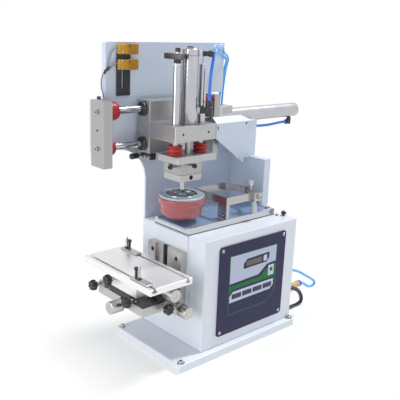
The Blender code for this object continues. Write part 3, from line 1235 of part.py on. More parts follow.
def make_cup_holder(frame):
    """The steel strip that holds an ink cup, on two legs and a post, with its thumb screw."""
    foot = TRAY_TOP + HOLDER_FOOT_RISE
    top = foot + HOLDER_STRIP_HEIGHT
    strip = sheet("cup_holder", holder_outline(0), "z", foot, top, STAINLESS, frame)
    inside = sheet("cup_space", holder_outline(HOLDER_STRIP), "z", foot - OVERRUN, top + OVERRUN,
                   None, frame)
    cut(strip, inside)

    right = TRAY_RIGHT - HOLDER_RIGHT_INSET
    front = TRAY_FRONT + HOLDER_FROM_TRAY_FRONT
    rear = front + HOLDER_LENGTH
    leg_right = right - DARK_LEG_INSET
    front_leg = block("front_leg", (leg_right - DARK_LEG_WIDTH, leg_right),
                      (front + HOLDER_STRIP / 2, front + HOLDER_STRIP * 1.5),
                      (TRAY_TOP + GAP, top - LAP), None, frame)
    side_leg = block("side_leg", (right - HOLDER_STRIP * 1.5, right - HOLDER_STRIP / 2),
                     (front + LAP, front + SIDE_LEG_LENGTH), (TRAY_TOP + GAP, top - LAP), None,
                     frame)
    block_x = (right - CLAMP_BLOCK_WIDTH / 2, right + CLAMP_BLOCK_WIDTH / 2)
    block_y = (rear - CLAMP_BLOCK_LENGTH / 2, rear + CLAMP_BLOCK_LENGTH / 2)
    clamp = block("clamp_block", block_x, block_y, (top - CLAMP_BLOCK_HEIGHT, top - LAP / 2),
                  None, frame)
    post_x = right - HOLDER_POST_RADIUS / 2
    post = rod("holder_post", (post_x, rear + LAP, TRAY_TOP + GAP), (0, 0, 1),
               top - TRAY_TOP - 2 * LAP, HOLDER_POST_RADIUS, None, frame, SMALL_SIDES)
    screw_x = right - CLAMP_BLOCK_WIDTH
    lug = block("thumb_lug", (screw_x - THUMB_LUG_WIDTH / 2, right),
                (rear - THUMB_LUG_WIDTH / 2, rear + THUMB_LUG_WIDTH / 2),
                (top - CLAMP_BLOCK_HEIGHT / 2, top + LAP / 2), None, frame)
    join(strip, front_leg, side_leg, clamp, post, lug)

    profile = [
        (0, 0),
        (THUMB_SCREW_NECK_RADIUS, 0),
        (THUMB_SCREW_NECK_RADIUS, THUMB_SCREW_NECK),
        (THUMB_SCREW_RADIUS, THUMB_SCREW_NECK),
        (THUMB_SCREW_RADIUS, THUMB_SCREW_NECK + THUMB_SCREW_HEAD),
        (0, THUMB_SCREW_NECK + THUMB_SCREW_HEAD),
    ]
    place = (screw_x, rear, top + LAP / 2 + GAP)
    carrier = body_empty("thumb_screw_turn", place, frame)
    turned("cup_thumb_screw", place, (0, 0, 1), profile, STAINLESS, carrier, SMALL_SIDES)


def make_bracket(frame):
    """The bracket on the cabinet's front, with the upright way that the knee slides on."""
    half = BRACKET_WIDTH / 2
    bracket = block("table_bracket", (BRACKET_X - half, BRACKET_X + half),
                    (BRACKET_FRONT, BRACKET_BACK), (BRACKET_FOOT, BRACKET_TOP),
                    ALUMINIUM, frame)
    z = (BRACKET_FOOT - OVERRUN, BRACKET_TOP + OVERRUN)
    way = block("knee_way", (WAY_X - BRACKET_WAY_WIDTH / 2, WAY_X + BRACKET_WAY_WIDTH / 2),
                (BRACKET_FRONT - OVERRUN, BRACKET_FRONT + BRACKET_WAY_DEPTH), z, None, frame)
    keyway = block("knee_keyway",
                   (WAY_X - BRACKET_KEYWAY_WIDTH / 2, WAY_X + BRACKET_KEYWAY_WIDTH / 2),
                   (BRACKET_FRONT - OVERRUN, BRACKET_FRONT + BRACKET_KEYWAY_DEPTH), z, None, frame)
    cut(bracket, way, keyway)
    for side in (-1, 1):
        hole = rod(f"bracket_hole_{(side + 3) // 2}",
                   (BRACKET_X + side * BRACKET_HOLE_SPACING / 2,
                    BRACKET_FRONT + BRACKET_HOLE_DEPTH, BRACKET_TOP - BRACKET_HOLE_DROP),
                   (0, -1, 0), BRACKET_HOLE_DEPTH + OVERRUN, BRACKET_HOLE_RADIUS, None, frame,
                   SMALL_SIDES)
        cut(bracket, hole)


def make_knee(knee):
    """The knee: an upright plate in the bracket's way, and the arm that carries the slides."""
    plate = block("knee", (-KNEE_PLATE_LEFT, KNEE_PLATE_RIGHT), (KNEE_FRONT, KNEE_BACK),
                  (KNEE_FOOT, KNEE_TOP), ALUMINIUM, knee)
    tongue = block("knee_tongue",
                   (WAY_X - BRACKET_WAY_WIDTH / 2 + RUNNING_FIT,
                    WAY_X + BRACKET_WAY_WIDTH / 2 - RUNNING_FIT),
                   (KNEE_BACK - LAP, BRACKET_FRONT + BRACKET_WAY_DEPTH - RUNNING_FIT),
                   (KNEE_FOOT, KNEE_TOP - LAP), None, knee)
    arm = block("knee_arm", (ARM_LEFT, ARM_RIGHT), (ARM_FRONT, KNEE_FRONT + LAP),
                (ARM_FOOT, ARM_TOP), None, knee)
    horn = block("knee_horn", (ARM_LEFT + LAP, ARM_LEFT + KNEE_HORN_WIDTH),
                 (ARM_FRONT + LAP / 2, ARM_FRONT + KNEE_HORN_DEPTH),
                 (ARM_TOP - LAP, ARM_TOP + KNEE_HORN_HEIGHT), None, knee)
    way_x = (CROSS_LEFT + CROSS_RIGHT) / 2
    way = block("cross_way", (way_x - WAY_WIDTH / 2, way_x + WAY_WIDTH / 2),
                (ARM_FRONT - OVERRUN, KNEE_FRONT), (ARM_TOP - WAY_DEPTH, ARM_TOP + OVERRUN),
                None, knee)
    join(plate, tongue, arm, horn)
    cut(plate, way)


def make_cross_slide(cross):
    """The black cross slide, with a tongue below and a way for the table above."""
    slide = block("cross_slide", (CROSS_LEFT, CROSS_RIGHT), (CROSS_FRONT, CROSS_BACK),
                  (CROSS_FOOT, CROSS_TOP), BLACK_STEEL, cross)
    way_x = (CROSS_LEFT + CROSS_RIGHT) / 2
    tongue = block("cross_tongue",
                   (way_x - WAY_WIDTH / 2 + RUNNING_FIT, way_x + WAY_WIDTH / 2 - RUNNING_FIT),
                   (CROSS_FRONT + CROSS_TONGUE_INSET, CROSS_BACK - LAP),
                   (ARM_TOP - WAY_DEPTH + RUNNING_FIT, CROSS_FOOT + LAP), None, cross)
    middle = (CROSS_FRONT + CROSS_BACK) / 2
    way = block("table_way", (CROSS_LEFT - OVERRUN, CROSS_RIGHT + OVERRUN),
                (middle - TABLE_WAY_WIDTH / 2, middle + TABLE_WAY_WIDTH / 2),
                (CROSS_TOP - TABLE_WAY_DEPTH, CROSS_TOP + OVERRUN), None, cross)
    join(slide, tongue)
    cut(slide, way)


def t_slot(name, y, body):
    """A helper with a T-slot's section, along the whole table."""
    neck = T_SLOT_NECK / 2
    foot = T_SLOT_FOOT / 2
    deep = TABLE_TOP - T_SLOT_NECK_DEPTH
    floor = deep - T_SLOT_FOOT_DEPTH
    outline = [
        (y - foot, floor), (y + foot, floor), (y + foot, deep), (y + neck, deep),
        (y + neck, TABLE_TOP + OVERRUN), (y - neck, TABLE_TOP + OVERRUN), (y - neck, deep),
        (y - foot, deep),
    ]
    return sheet(name, outline, "x", TABLE_LEFT - OVERRUN, TABLE_RIGHT + OVERRUN, None, body)


def make_table(table):
    """The worktable with two T-slots, on the block that slides along the cross slide."""
    top = block("table_top", (TABLE_LEFT, TABLE_RIGHT), (TABLE_FRONT, TABLE_BACK),
                (TABLE_FOOT, TABLE_TOP), ALUMINIUM, table, TABLE_EDGE_RADIUS)
    carrier = block("table_block", (TABLE_BLOCK_LEFT, TABLE_BLOCK_RIGHT),
                    (TABLE_BLOCK_FRONT, TABLE_BLOCK_BACK), (TABLE_BLOCK_FOOT, TABLE_FOOT + LAP),
                    None, table)
    middle = (CROSS_FRONT + CROSS_BACK) / 2
    half = TABLE_WAY_WIDTH / 2 - RUNNING_FIT
    tongue = block("table_tongue",
                   (TABLE_BLOCK_LEFT + TABLE_TONGUE_INSET, TABLE_BLOCK_RIGHT - LAP),
                   (middle - half, middle + half),
                   (CROSS_TOP - TABLE_WAY_DEPTH + RUNNING_FIT, TABLE_BLOCK_FOOT + LAP), None,
                   table)
    join(top, carrier, tongue)
    cut(top, t_slot("front_t_slot", FRONT_SLOT_Y, table), t_slot("rear_t_slot", REAR_SLOT_Y, table))


def make_clamp(name, left, y, screw_first, body):
    """A work clamp: a strap with a T-nut in the slot, and a screw and a pin at its left end."""
    seat = TABLE_TOP + GAP
    strap_top = seat + STRAP_THICKNESS
    strap = block(name, (left, left + STRAP_LENGTH),
                  (y - STRAP_WIDTH / 2, y + STRAP_WIDTH / 2), (seat, strap_top), ALUMINIUM, body)
    places = [left + CLAMP_FIRST_INSET, left + CLAMP_FIRST_INSET + CLAMP_PITCH]
    screw_x, pin_x = places if screw_first else reversed(places)
    neck = T_SLOT_NECK / 2 - CLAMP_NECK_CLEARANCE
    foot = T_SLOT_FOOT / 2 - CLAMP_NECK_CLEARANCE
    nut_x = (screw_x - CLAMP_NUT_LENGTH / 2, screw_x + CLAMP_NUT_LENGTH / 2)
    nut_top = TABLE_TOP - T_SLOT_NECK_DEPTH - CLAMP_NECK_CLEARANCE
    nut_foot = TABLE_TOP - T_SLOT_NECK_DEPTH - T_SLOT_FOOT_DEPTH + CLAMP_NECK_CLEARANCE
    nut = block(f"{name}_nut", nut_x, (y - foot, y + foot), (nut_foot, nut_top), None, body)
    stem = block(f"{name}_stem", (nut_x[0] + LAP, nut_x[1] - LAP), (y - neck, y + neck),
                 (nut_top - LAP, seat + LAP), None, body)
    screw = turned(f"{name}_screw", (screw_x, y, strap_top - LAP), (0, 0, 1), [
        (0, 0),
        (CLAMP_SCREW_RADIUS, 0),
        (CLAMP_SCREW_RADIUS, CLAMP_SCREW_HEIGHT),
        (CLAMP_SCREW_HEAD_RADIUS, CLAMP_SCREW_HEIGHT),
        (CLAMP_SCREW_HEAD_RADIUS, CLAMP_SCREW_HEIGHT + CLAMP_SCREW_HEAD_HEIGHT),
        (0, CLAMP_SCREW_HEIGHT + CLAMP_SCREW_HEAD_HEIGHT),
    ], None, body, SMALL_SIDES)
    pin = turned(f"{name}_pin", (pin_x, y, strap_top - LAP), (0, 0, 1), [
        (0, 0),
        (CLAMP_COLLAR_RADIUS, 0),
        (CLAMP_COLLAR_RADIUS, CLAMP_COLLAR_HEIGHT),
        (CLAMP_PIN_RADIUS, CLAMP_COLLAR_HEIGHT),
        (CLAMP_PIN_RADIUS, CLAMP_PIN_HEIGHT),
        (0, CLAMP_PIN_HEIGHT),
    ], None, body, SMALL_SIDES)
    join(strap, nut, stem, screw, pin)


def make_feed_knob(name, place, direction, spindle, parent):
    """A plain aluminium knob on its spindle, turned about the spindle's axis."""
    edge = FEED_SPINDLE_RADIUS / 8
    end = spindle + FEED_KNOB_LENGTH
    profile = [
        (0, 0),
        (FEED_SPINDLE_RADIUS, 0),
        (FEED_SPINDLE_RADIUS, spindle),
        (FEED_KNOB_RADIUS - edge, spindle),
        (FEED_KNOB_RADIUS, spindle + edge),
        (FEED_KNOB_RADIUS, end - edge),
        (FEED_KNOB_RADIUS - edge, end),
        (0, end),
    ]
    carrier = body_empty(f"{name}_turn", place, parent)
    turned(name, place, direction, profile, ALUMINIUM, carrier)


def star_mesh():
    """A lobed knob on a thin stem, along +Z from the stem's foot."""
    sides = STAR_KNOB_LOBES * STAR_SIDES_PER_LOBE
    bm = bmesh.new()
    edge = STAR_KNOB_THICKNESS * STAR_EDGE_SHARE
    top = STAR_STEM_LENGTH + STAR_KNOB_THICKNESS
    levels = [
        (STAR_STEM_LENGTH, STAR_FOOT_SHARE),
        (STAR_STEM_LENGTH + edge, 1),
        (top - edge, 1),
        (top, STAR_CROWN_SHARE),
    ]
    rings = []
    stem = []
    for step in range(sides):
        turn = 2 * math.pi * step / sides
        stem.append(bm.verts.new((STAR_STEM_RADIUS * math.cos(turn),
                                  STAR_STEM_RADIUS * math.sin(turn), 0)))
    rings.append(stem)
    neck = [bm.verts.new((vert.co.x, vert.co.y, STAR_STEM_LENGTH)) for vert in stem]
    rings.append(neck)
    for height, share in levels:
        lobed = []
        for step in range(sides):
            turn = 2 * math.pi * step / sides
            wave = 1 - STAR_LOBE_SHARE * (0.5 - 0.5 * math.cos(STAR_KNOB_LOBES * turn)) ** 2
            radius = STAR_KNOB_RADIUS * share * wave
            lobed.append(bm.verts.new((radius * math.cos(turn), radius * math.sin(turn), height)))
        rings.append(lobed)
    for low, high in zip(rings, rings[1:]):
        for step in range(sides):
            after = (step + 1) % sides
            bm.faces.new((low[step], low[after], high[after], high[step]))
    bm.faces.new(rings[0])
    bm.faces.new(rings[-1])
    mesh = mesh_from(bm, "star_knob")
    mesh.shade_smooth()
    mesh.set_sharp_from_angle(angle=SMOOTH_UP_TO)
    mesh.materials.append(material_of(BLACK_PLASTIC))
    return mesh


def make_lock_knobs(knee, cross, table):
    """Four lobed lock knobs: two on the knee, one on the cross slide, one on the table block."""
    mesh = star_mesh()
    seats = [
        ("table_lock_knob", table, (0, -1, 0),
         (TABLE_BLOCK_LEFT + TABLE_LOCK_FROM_BLOCK_LEFT, TABLE_BLOCK_FRONT - GAP,
          TABLE_FOOT - TABLE_LOCK_DROP)),
        ("cross_lock_knob", cross, (0, -1, 0),
         (CROSS_RIGHT - SLIDE_LOCK_FROM_RIGHT, CROSS_FRONT - GAP, (CROSS_FOOT + CROSS_TOP) / 2)),
        ("knee_lock_knob_front", knee, (0, -1, 0),
         (ARM_LEFT + LAP + STAR_STEM_RADIUS, ARM_FRONT - GAP,
          ARM_TOP + KNEE_HORN_HEIGHT - HORN_LOCK_DROP)),
        ("knee_lock_knob_side", knee, (1, 0, 0),
         (ARM_RIGHT + GAP, ARM_FRONT + ARM_LOCK_FROM_FRONT, (ARM_FOOT + ARM_TOP) / 2)),
    ]
    for name, parent, direction, place in seats:
        carrier = body_empty(f"{name}_turn", place, parent)
        knob = bpy.data.objects.new(name, mesh)
        bpy.context.scene.collection.objects.link(knob)
        knob.parent = carrier
        knob.rotation_euler = Vector(direction).to_track_quat("Z", "Y").to_euler()


def make_feed_knobs(knee, table):
    """The knobs of the table feed, the cross feed and the knee's lift."""
    make_feed_knob("table_feed_knob",
                   (TABLE_BLOCK_RIGHT + GAP, TABLE_BLOCK_BACK - FEED_X_FROM_BLOCK_REAR,
                    TABLE_FOOT - FEED_X_DROP), (1, 0, 0), FEED_X_SPINDLE, table)
    make_feed_knob("cross_feed_knob",
                   (ARM_RIGHT - FEED_Y_FROM_ARM_RIGHT, ARM_FRONT - GAP, (ARM_FOOT + ARM_TOP) / 2),
                   (0, -1, 0), FEED_Y_SPINDLE, knee)
    make_feed_knob("lift_knob",
                   (KNEE_PLATE_RIGHT + GAP, KNEE_FRONT + LIFT_KNOB_FROM_PLATE_FRONT,
                    KNEE_FOOT + LIFT_KNOB_RISE), (1, 0, 0), LIFT_SPINDLE, knee)


def make_inlet(frame):
    """The brass air inlet behind the cabinet, its looped tube and the bundle of cables."""
    x = CABINET_RIGHT - INLET_FROM_RIGHT
    z = CABINET_FOOT + INLET_RISE
    start = CABINET_BACK + GAP
    profile = [
        (0, 0),
        (INLET_BODY_RADIUS, 0),
        (INLET_BODY_RADIUS, INLET_BODY_LENGTH),
        (INLET_NUT_RADIUS, INLET_BODY_LENGTH),
        (INLET_NUT_RADIUS, INLET_BODY_LENGTH + INLET_NUT_LENGTH),
        (INLET_NECK_RADIUS, INLET_NECK_START),
        (INLET_NECK_RADIUS, INLET_COLLET_START),
        (INLET_COLLET_RADIUS, INLET_COLLET_START),
        (INLET_COLLET_RADIUS, INLET_LENGTH),
        (0, INLET_LENGTH),
    ]
    turned("air_inlet", (x, start, z), (0, 1, 0), profile, BRASS, frame, SMALL_SIDES)
    loop = route_from((x, start + INLET_LENGTH + GAP, z), [
        (0, 0, 0), (0, 8, 0), (0, 19, -9), (0, 32, -17), (0, 47, -19.5), (0, 55.7, -15.5),
        (0, 54.5, -8.5), (0, 44.5, -3), (0, 28, 7.5), (0, 11, 18), (0, -10, 30), (0, -30, 38),
        (0, -50, 42),
    ])
    supply = (x, start, z)
    loop += route_from(supply, [(0, 10, 43), (0, 0.6, 43)])
    tube("air_supply_tube", loop, TUBE_RADIUS, CYAN_TUBE, frame)
    cables = route_from((CABINET_RIGHT - CABLES_FROM_RIGHT, start, z), [
        (0, 0.6, 12.5), (0, 10, 12.5), (0, 20, 10), (0, 34, 3), (0, 44, -5), (0, 52.5, -18),
        (0, 53.5, -29), (0, 44, -34.5), (0, 30, -35), (0, 10, -34), (0, 0.6, -34),
    ])
    tube("cable_bundle", cables, CABLE_RADIUS, BLACK_PLASTIC, frame)


def main():
    """Build the whole machine at rest."""
    clear_scene()
    frame = body_empty("machine", (0, 0, 0))
    head = body_empty("head_travel", (RAIL_X, LIFT_Y, UPPER_RAIL_Z), frame)
    slide = body_empty("pad_lift", (LIFT_X, LIFT_Y, SLIDE_PLATE_TOP), head)
    knee = body_empty("knee_lift", (WAY_X, KNEE_BACK, KNEE_TOP), frame)
    cross = body_empty("cross_feed", (0, CROSS_FRONT, CROSS_FOOT), knee)
    table = body_empty("table_feed", (TABLE_BLOCK_RIGHT, CROSS_FRONT, CROSS_TOP), cross)
    near = body_empty("near_clamp_slide", (TABLE_RIGHT, FRONT_SLOT_Y, TABLE_TOP), table)
    far = body_empty("far_clamp_slide", (TABLE_LEFT, REAR_SLOT_Y, TABLE_TOP), table)

    make_base(frame)
    make_cabinet(frame)
    make_control_panel(frame)
    make_side_wall(frame)
    make_rear_housing(frame)
    make_upper_panel(frame)
    make_rails(frame)
    make_shuttle(frame, head)
    make_carriage(head)
    make_head_block(head)
    make_panel_air_line(frame, make_lift_cylinder(head))
    make_slide_plate(slide)
    make_pad(slide)
    make_tray(frame)
    make_cup_holder(frame)
    make_bracket(frame)
    make_knee(knee)
    make_cross_slide(cross)
    make_table(table)
    make_clamp("work_clamp_near", TABLE_RIGHT - NEAR_CLAMP_FROM_RIGHT, FRONT_SLOT_Y, True, near)
    make_clamp("work_clamp_far", TABLE_LEFT + FAR_CLAMP_FROM_LEFT, REAR_SLOT_Y, False, far)
    make_lock_knobs(knee, cross, table)
    make_feed_knobs(knee, table)
    make_inlet(frame)


main()
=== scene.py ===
"""Looks of the pad printing machine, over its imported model.

Lengths are in millimetres, except the studio's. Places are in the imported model's own frame: +Z up,
-Y towards the worktable and +X towards the control panel. Each Assembly dresses one part of it.
"""

import json
import logging
import math
from collections.abc import Callable
from dataclasses import dataclass
from enum import Enum
from functools import partialmethod

import bmesh
import bpy
import numpy as np
from mathutils import Matrix, Vector

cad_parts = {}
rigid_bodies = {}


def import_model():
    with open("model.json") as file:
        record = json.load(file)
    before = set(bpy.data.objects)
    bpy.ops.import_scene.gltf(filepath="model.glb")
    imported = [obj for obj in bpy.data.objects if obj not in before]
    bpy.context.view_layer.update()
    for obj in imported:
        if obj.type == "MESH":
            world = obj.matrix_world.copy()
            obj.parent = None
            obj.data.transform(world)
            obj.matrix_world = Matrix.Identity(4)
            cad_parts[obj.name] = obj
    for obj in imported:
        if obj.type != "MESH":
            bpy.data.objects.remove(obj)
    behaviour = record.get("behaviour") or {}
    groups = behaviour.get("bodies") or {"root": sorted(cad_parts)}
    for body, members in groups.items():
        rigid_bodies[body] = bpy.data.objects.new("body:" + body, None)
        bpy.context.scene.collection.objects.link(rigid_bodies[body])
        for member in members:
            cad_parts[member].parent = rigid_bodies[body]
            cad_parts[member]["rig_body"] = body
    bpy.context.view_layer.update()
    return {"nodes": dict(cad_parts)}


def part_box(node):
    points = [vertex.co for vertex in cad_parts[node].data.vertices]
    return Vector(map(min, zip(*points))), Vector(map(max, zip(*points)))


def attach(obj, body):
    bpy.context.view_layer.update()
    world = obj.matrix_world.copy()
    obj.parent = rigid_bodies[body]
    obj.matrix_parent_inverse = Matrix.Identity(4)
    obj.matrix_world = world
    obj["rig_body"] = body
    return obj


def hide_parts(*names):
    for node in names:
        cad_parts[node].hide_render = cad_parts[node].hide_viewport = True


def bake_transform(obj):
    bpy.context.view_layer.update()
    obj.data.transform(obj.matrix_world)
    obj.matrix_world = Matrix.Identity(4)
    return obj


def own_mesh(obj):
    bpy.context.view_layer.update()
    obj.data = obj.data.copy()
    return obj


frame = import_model()
LOG = logging.getLogger("scene")

MM = 0.001  # metres in a millimetre
SKIN = 0.08  # how far a thin new skin stands over the CAD piece that it covers
SEAT = 0.2  # how deep a small new piece sits in the one that carries it
SMALL, MIDDLE, LARGE, GREAT = 32, 48, 64, 96  # points round a turned piece, by its size
SHARP = 32.0  # edges over this angle in degrees stay sharp
TAU = 2 * math.pi


class Way(Enum):
    """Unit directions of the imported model's frame."""

    RIGHT = (1.0, 0.0, 0.0)
    LEFT = (-1.0, 0.0, 0.0)
    BACK = (0.0, 1.0, 0.0)
    FRONT = (0.0, -1.0, 0.0)
    UP = (0.0, 0.0, 1.0)


class Texture(Enum):
    """Kinds of surface that the material maker knows."""

    PAINT = "paint"
    STREAKED = "streaked"
    POLISHED = "polished"
    MOULDED = "moulded"
    SILICONE = "silicone"


@dataclass(frozen=True)
class Finish:
    """A surface finish.

    Attributes:
        name: the material's name.
        slot: the record's material slot; not used.
        texture: which procedural surface it gets.
        colour: linear base colour.
        second: linear colour of its darker or lighter streaks.
        roughness: mean roughness.
        metallic: 0 to 1, less than 1 where an oxide layer scatters light.
        coat: clear coat weight.
        grain: how long one streak is, or its length along X, Y and Z.
        relief: how high its bumps are.
    """

    name: str
    slot: str
    texture: Texture
    colour: tuple
    second: tuple
    roughness: float
    metallic: float = 0.0
    coat: float = 0.0
    grain: float | tuple = 2.0
    relief: float = 0.02


@dataclass(frozen=True)
class Screw:
    """A screw's head: its radius, height, and the shares of the radius that its rounded edge and
    its hexagonal socket take."""

    radius: float
    height: float
    dome: float = 0.15
    recess: float = 0.55


@dataclass(frozen=True)
class Box:
    """The box of one CAD node at rest."""

    low: Vector
    high: Vector

    @classmethod
    def of(cls, node: str) -> "Box":
        """Box of the named CAD node."""
        low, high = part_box(node)
        return cls(low / MM, high / MM)

    @property
    def middle(self) -> Vector:
        """Middle of the box."""
        return (self.low + self.high) / 2

    @property
    def size(self) -> Vector:
        """Lengths of the box along X, Y and Z."""
        return self.high - self.low

    def seat(self, way: Way) -> Vector:
        """Middle of the face that lies furthest back along a way."""
        return self.middle - Vector(np.multiply(way.value, self.size / 2))


FINE = 0.6
LONG = 60.0

PAINT = Finish("powder_coat", "white_paint", Texture.PAINT, (0.70, 0.765, 0.87), (0.66, 0.73, 0.845),
               0.34, coat=0.15, relief=0.03)
# Painted light: a paler, warmer copy of the same powder coat, in the tone the paint takes where the
# warm light from above falls. It dresses the base plate, the cabinet and the cover's top and lip.
PAINT_LIT = Finish("powder_coat_painted_light", "white_paint", Texture.PAINT, (0.80, 0.83, 0.89),
                    (0.77, 0.80, 0.87), 0.36, coat=0.12, relief=0.03)
BRUSHED_X = Finish("brushed_aluminium_x", "aluminium", Texture.STREAKED, (0.61, 0.595, 0.58),
                   (0.47, 0.46, 0.455), 0.36, 0.8, grain=(LONG, FINE, FINE))
TABLE = Finish("ground_table_top", "aluminium", Texture.STREAKED, (0.92, 0.92, 0.92),
               (0.84, 0.84, 0.85), 0.40, 0.8, grain=(LONG, FINE, FINE))
BRUSHED_Y = Finish("brushed_aluminium_y", "aluminium", Texture.STREAKED, (0.55, 0.545, 0.545),
                   (0.40, 0.40, 0.41), 0.36, 0.8, grain=(FINE, LONG, FINE))
BRUSHED_Z = Finish("brushed_aluminium_z", "aluminium", Texture.STREAKED, (0.49, 0.48, 0.48),
                   (0.34, 0.34, 0.35), 0.34, 0.8, grain=(FINE, FINE, LONG))
SATIN = Finish("satin_aluminium", "aluminium", Texture.STREAKED, (0.62, 0.61, 0.60),
               (0.50, 0.50, 0.50), 0.42, 0.8, grain=(FINE, FINE, 10.0))
KNOB = Finish("turned_aluminium", "aluminium", Texture.STREAKED, (0.66, 0.64, 0.60),
              (0.46, 0.45, 0.44), 0.30, 1.0, grain=0.4)
STAINLESS = Finish("stainless_strip", "stainless", Texture.STREAKED, (0.56, 0.55, 0.54),
                   (0.40, 0.39, 0.385), 0.24, 1.0, grain=(LONG, LONG, 0.8))
TRAY = Finish("stainless_tray", "stainless", Texture.STREAKED, (0.74, 0.74, 0.75), (0.58, 0.58, 0.60),
              0.26, 0.8, grain=(FINE, LONG, FINE))
STEEL = Finish("polished_steel_bar", "polished_steel", Texture.POLISHED, (0.56, 0.565, 0.59),
               (0.47, 0.475, 0.50), 0.13, 1.0, grain=4.0, relief=0.004)
BLACK_STEEL = Finish("black_oxide", "black_steel", Texture.MOULDED, (0.030, 0.031, 0.037),
                     (0.055, 0.056, 0.063), 0.38, 0.3)
BLACK = Finish("black_moulding", "black_plastic", Texture.MOULDED, (0.014, 0.015, 0.018),
               (0.024, 0.025, 0.029), 0.36, coat=0.2)
NAVY = Finish("navy_film", "navy_print", Texture.MOULDED, (0.022, 0.020, 0.068), (0.027, 0.025, 0.080),
              0.34, relief=0.006)
RED = Finish("red_rubber_moulding", "red_rubber", Texture.MOULDED, (0.42, 0.008, 0.010),
             (0.34, 0.006, 0.009), 0.40)
BRIGHT_RED = Finish("bright_red_rubber", "red_rubber", Texture.MOULDED, (0.52, 0.030, 0.018),
                    (0.40, 0.020, 0.014), 0.38)
SILICONE = Finish("pink_silicone", "silicone", Texture.SILICONE, (0.37, 0.082, 0.092),
                  (0.47, 0.130, 0.140), 0.30, coat=0.3)
AMBER = Finish("amber_body", "sensor_amber", Texture.MOULDED, (0.47, 0.215, 0.008),
               (0.40, 0.175, 0.006), 0.35)
YELLOW = Finish("yellow_mount", "sensor_amber", Texture.MOULDED, (0.74, 0.40, 0.012),
                (0.64, 0.33, 0.010), 0.35)
BLUE = Finish("blue_polyurethane", "blue_tube", Texture.MOULDED, (0.006, 0.19, 0.86),
              (0.010, 0.24, 0.92), 0.22, coat=0.5)
CYAN = Finish("cyan_polyurethane", "cyan_tube", Texture.MOULDED, (0.07, 0.47, 0.95),
              (0.12, 0.55, 0.97), 0.22, coat=0.5)
GREY_CABLE = Finish("grey_cable", "black_plastic", Texture.MOULDED, (0.34, 0.36, 0.39),
                    (0.24, 0.26, 0.29), 0.5)
BRASS = Finish("machined_brass", "brass", Texture.STREAKED, (0.72, 0.52, 0.26), (0.56, 0.38, 0.17),
               0.24, 1.0, grain=0.5)
# Painted reflection, in part: the plate's blue tint is its own, while its pale sky-blue lightness on a
# mostly diffuse base stands for the sky it reflects.
PLATE = Finish("etched_plate", "plate_blue", Texture.STREAKED, (0.30, 0.42, 0.64), (0.24, 0.35, 0.55),
               0.26, 0.25, grain=(FINE, LONG, FINE))
# Painted shade: near-black and matte, for the dark inside of holes, slots, seams and recesses. On
# screws set deep in holes it is their own black together with the hole's painted shade.
RECESS_SHADE = Finish("painted_recess_shade", "black_steel", Texture.MOULDED, (0.010, 0.010, 0.012),
                   (0.014, 0.014, 0.016), 0.7)
ANODISED = Finish("anodised_barrel", "aluminium", Texture.POLISHED, (0.55, 0.56, 0.59),
                  (0.46, 0.47, 0.50), 0.27, 1.0, grain=30.0, relief=0.004)
GUNMETAL = Finish("grey_flat_bar", "black_steel", Texture.STREAKED, (0.17, 0.17, 0.18),
                  (0.10, 0.10, 0.11), 0.38, 1.0, grain=(LONG, FINE, FINE))
MOUNT_COAT = Finish("pale_coated_disc", "stainless", Texture.MOULDED, (0.50, 0.57, 0.59),
                    (0.43, 0.50, 0.53), 0.30, 0.3, 0.3)
DARK_STEEL = Finish("dark_turned_plate", "stainless", Texture.STREAKED, (0.30, 0.33, 0.37),
                    (0.19, 0.21, 0.24), 0.34, 1.0, grain=1.2)
PALE_POST = Finish("pale_moulded_post", "white_paint", Texture.MOULDED, (0.66, 0.70, 0.66),
                   (0.60, 0.64, 0.61), 0.34)
WHITE_RING = Finish("white_ring", "white_paint", Texture.MOULDED, (0.80, 0.80, 0.80),
                    (0.74, 0.74, 0.74), 0.35)


class Field:
    """A number socket of a material, with Python's operators for its maths.

    Its low and high are the smaller and the larger of two fields, and root is its square root.
    """

    def __init__(self, tree: bpy.types.NodeTree, socket) -> None:
        """Wrap an output socket, or a plain number, of a node tree."""
        self.tree = tree
        self.socket = socket

    def _do(self, operation: str, *others, clamp: bool = False) -> "Field":
        """One maths node of this field and the others, held between 0 and 1 where clamp is set."""
        node = self.tree.nodes.new("ShaderNodeMath")
        node.operation = operation
        node.use_clamp = clamp
        for index, value in enumerate((self, *others)):
            source = value.socket if isinstance(value, Field) else value
            if isinstance(source, (int, float)):
                node.inputs[index].default_value = source
            else:
                self.tree.links.new(source, node.inputs[index])
        return Field(self.tree, node.outputs[0])

    def __rsub__(self, other) -> "Field":
        return Field(self.tree, other)._do("SUBTRACT", self)

    def unit(self) -> "Field":
        """The field held between 0 and 1."""
        return self._do("ADD", 0.0, clamp=True)

    __add__ = __radd__ = partialmethod(_do, "ADD")
    __sub__ = partialmethod(_do, "SUBTRACT")
    __mul__ = partialmethod(_do, "MULTIPLY")
    __abs__ = partialmethod(_do, "ABSOLUTE")
    low = partialmethod(_do, "MINIMUM")
    high = partialmethod(_do, "MAXIMUM")
    root = partialmethod(_do, "SQRT")


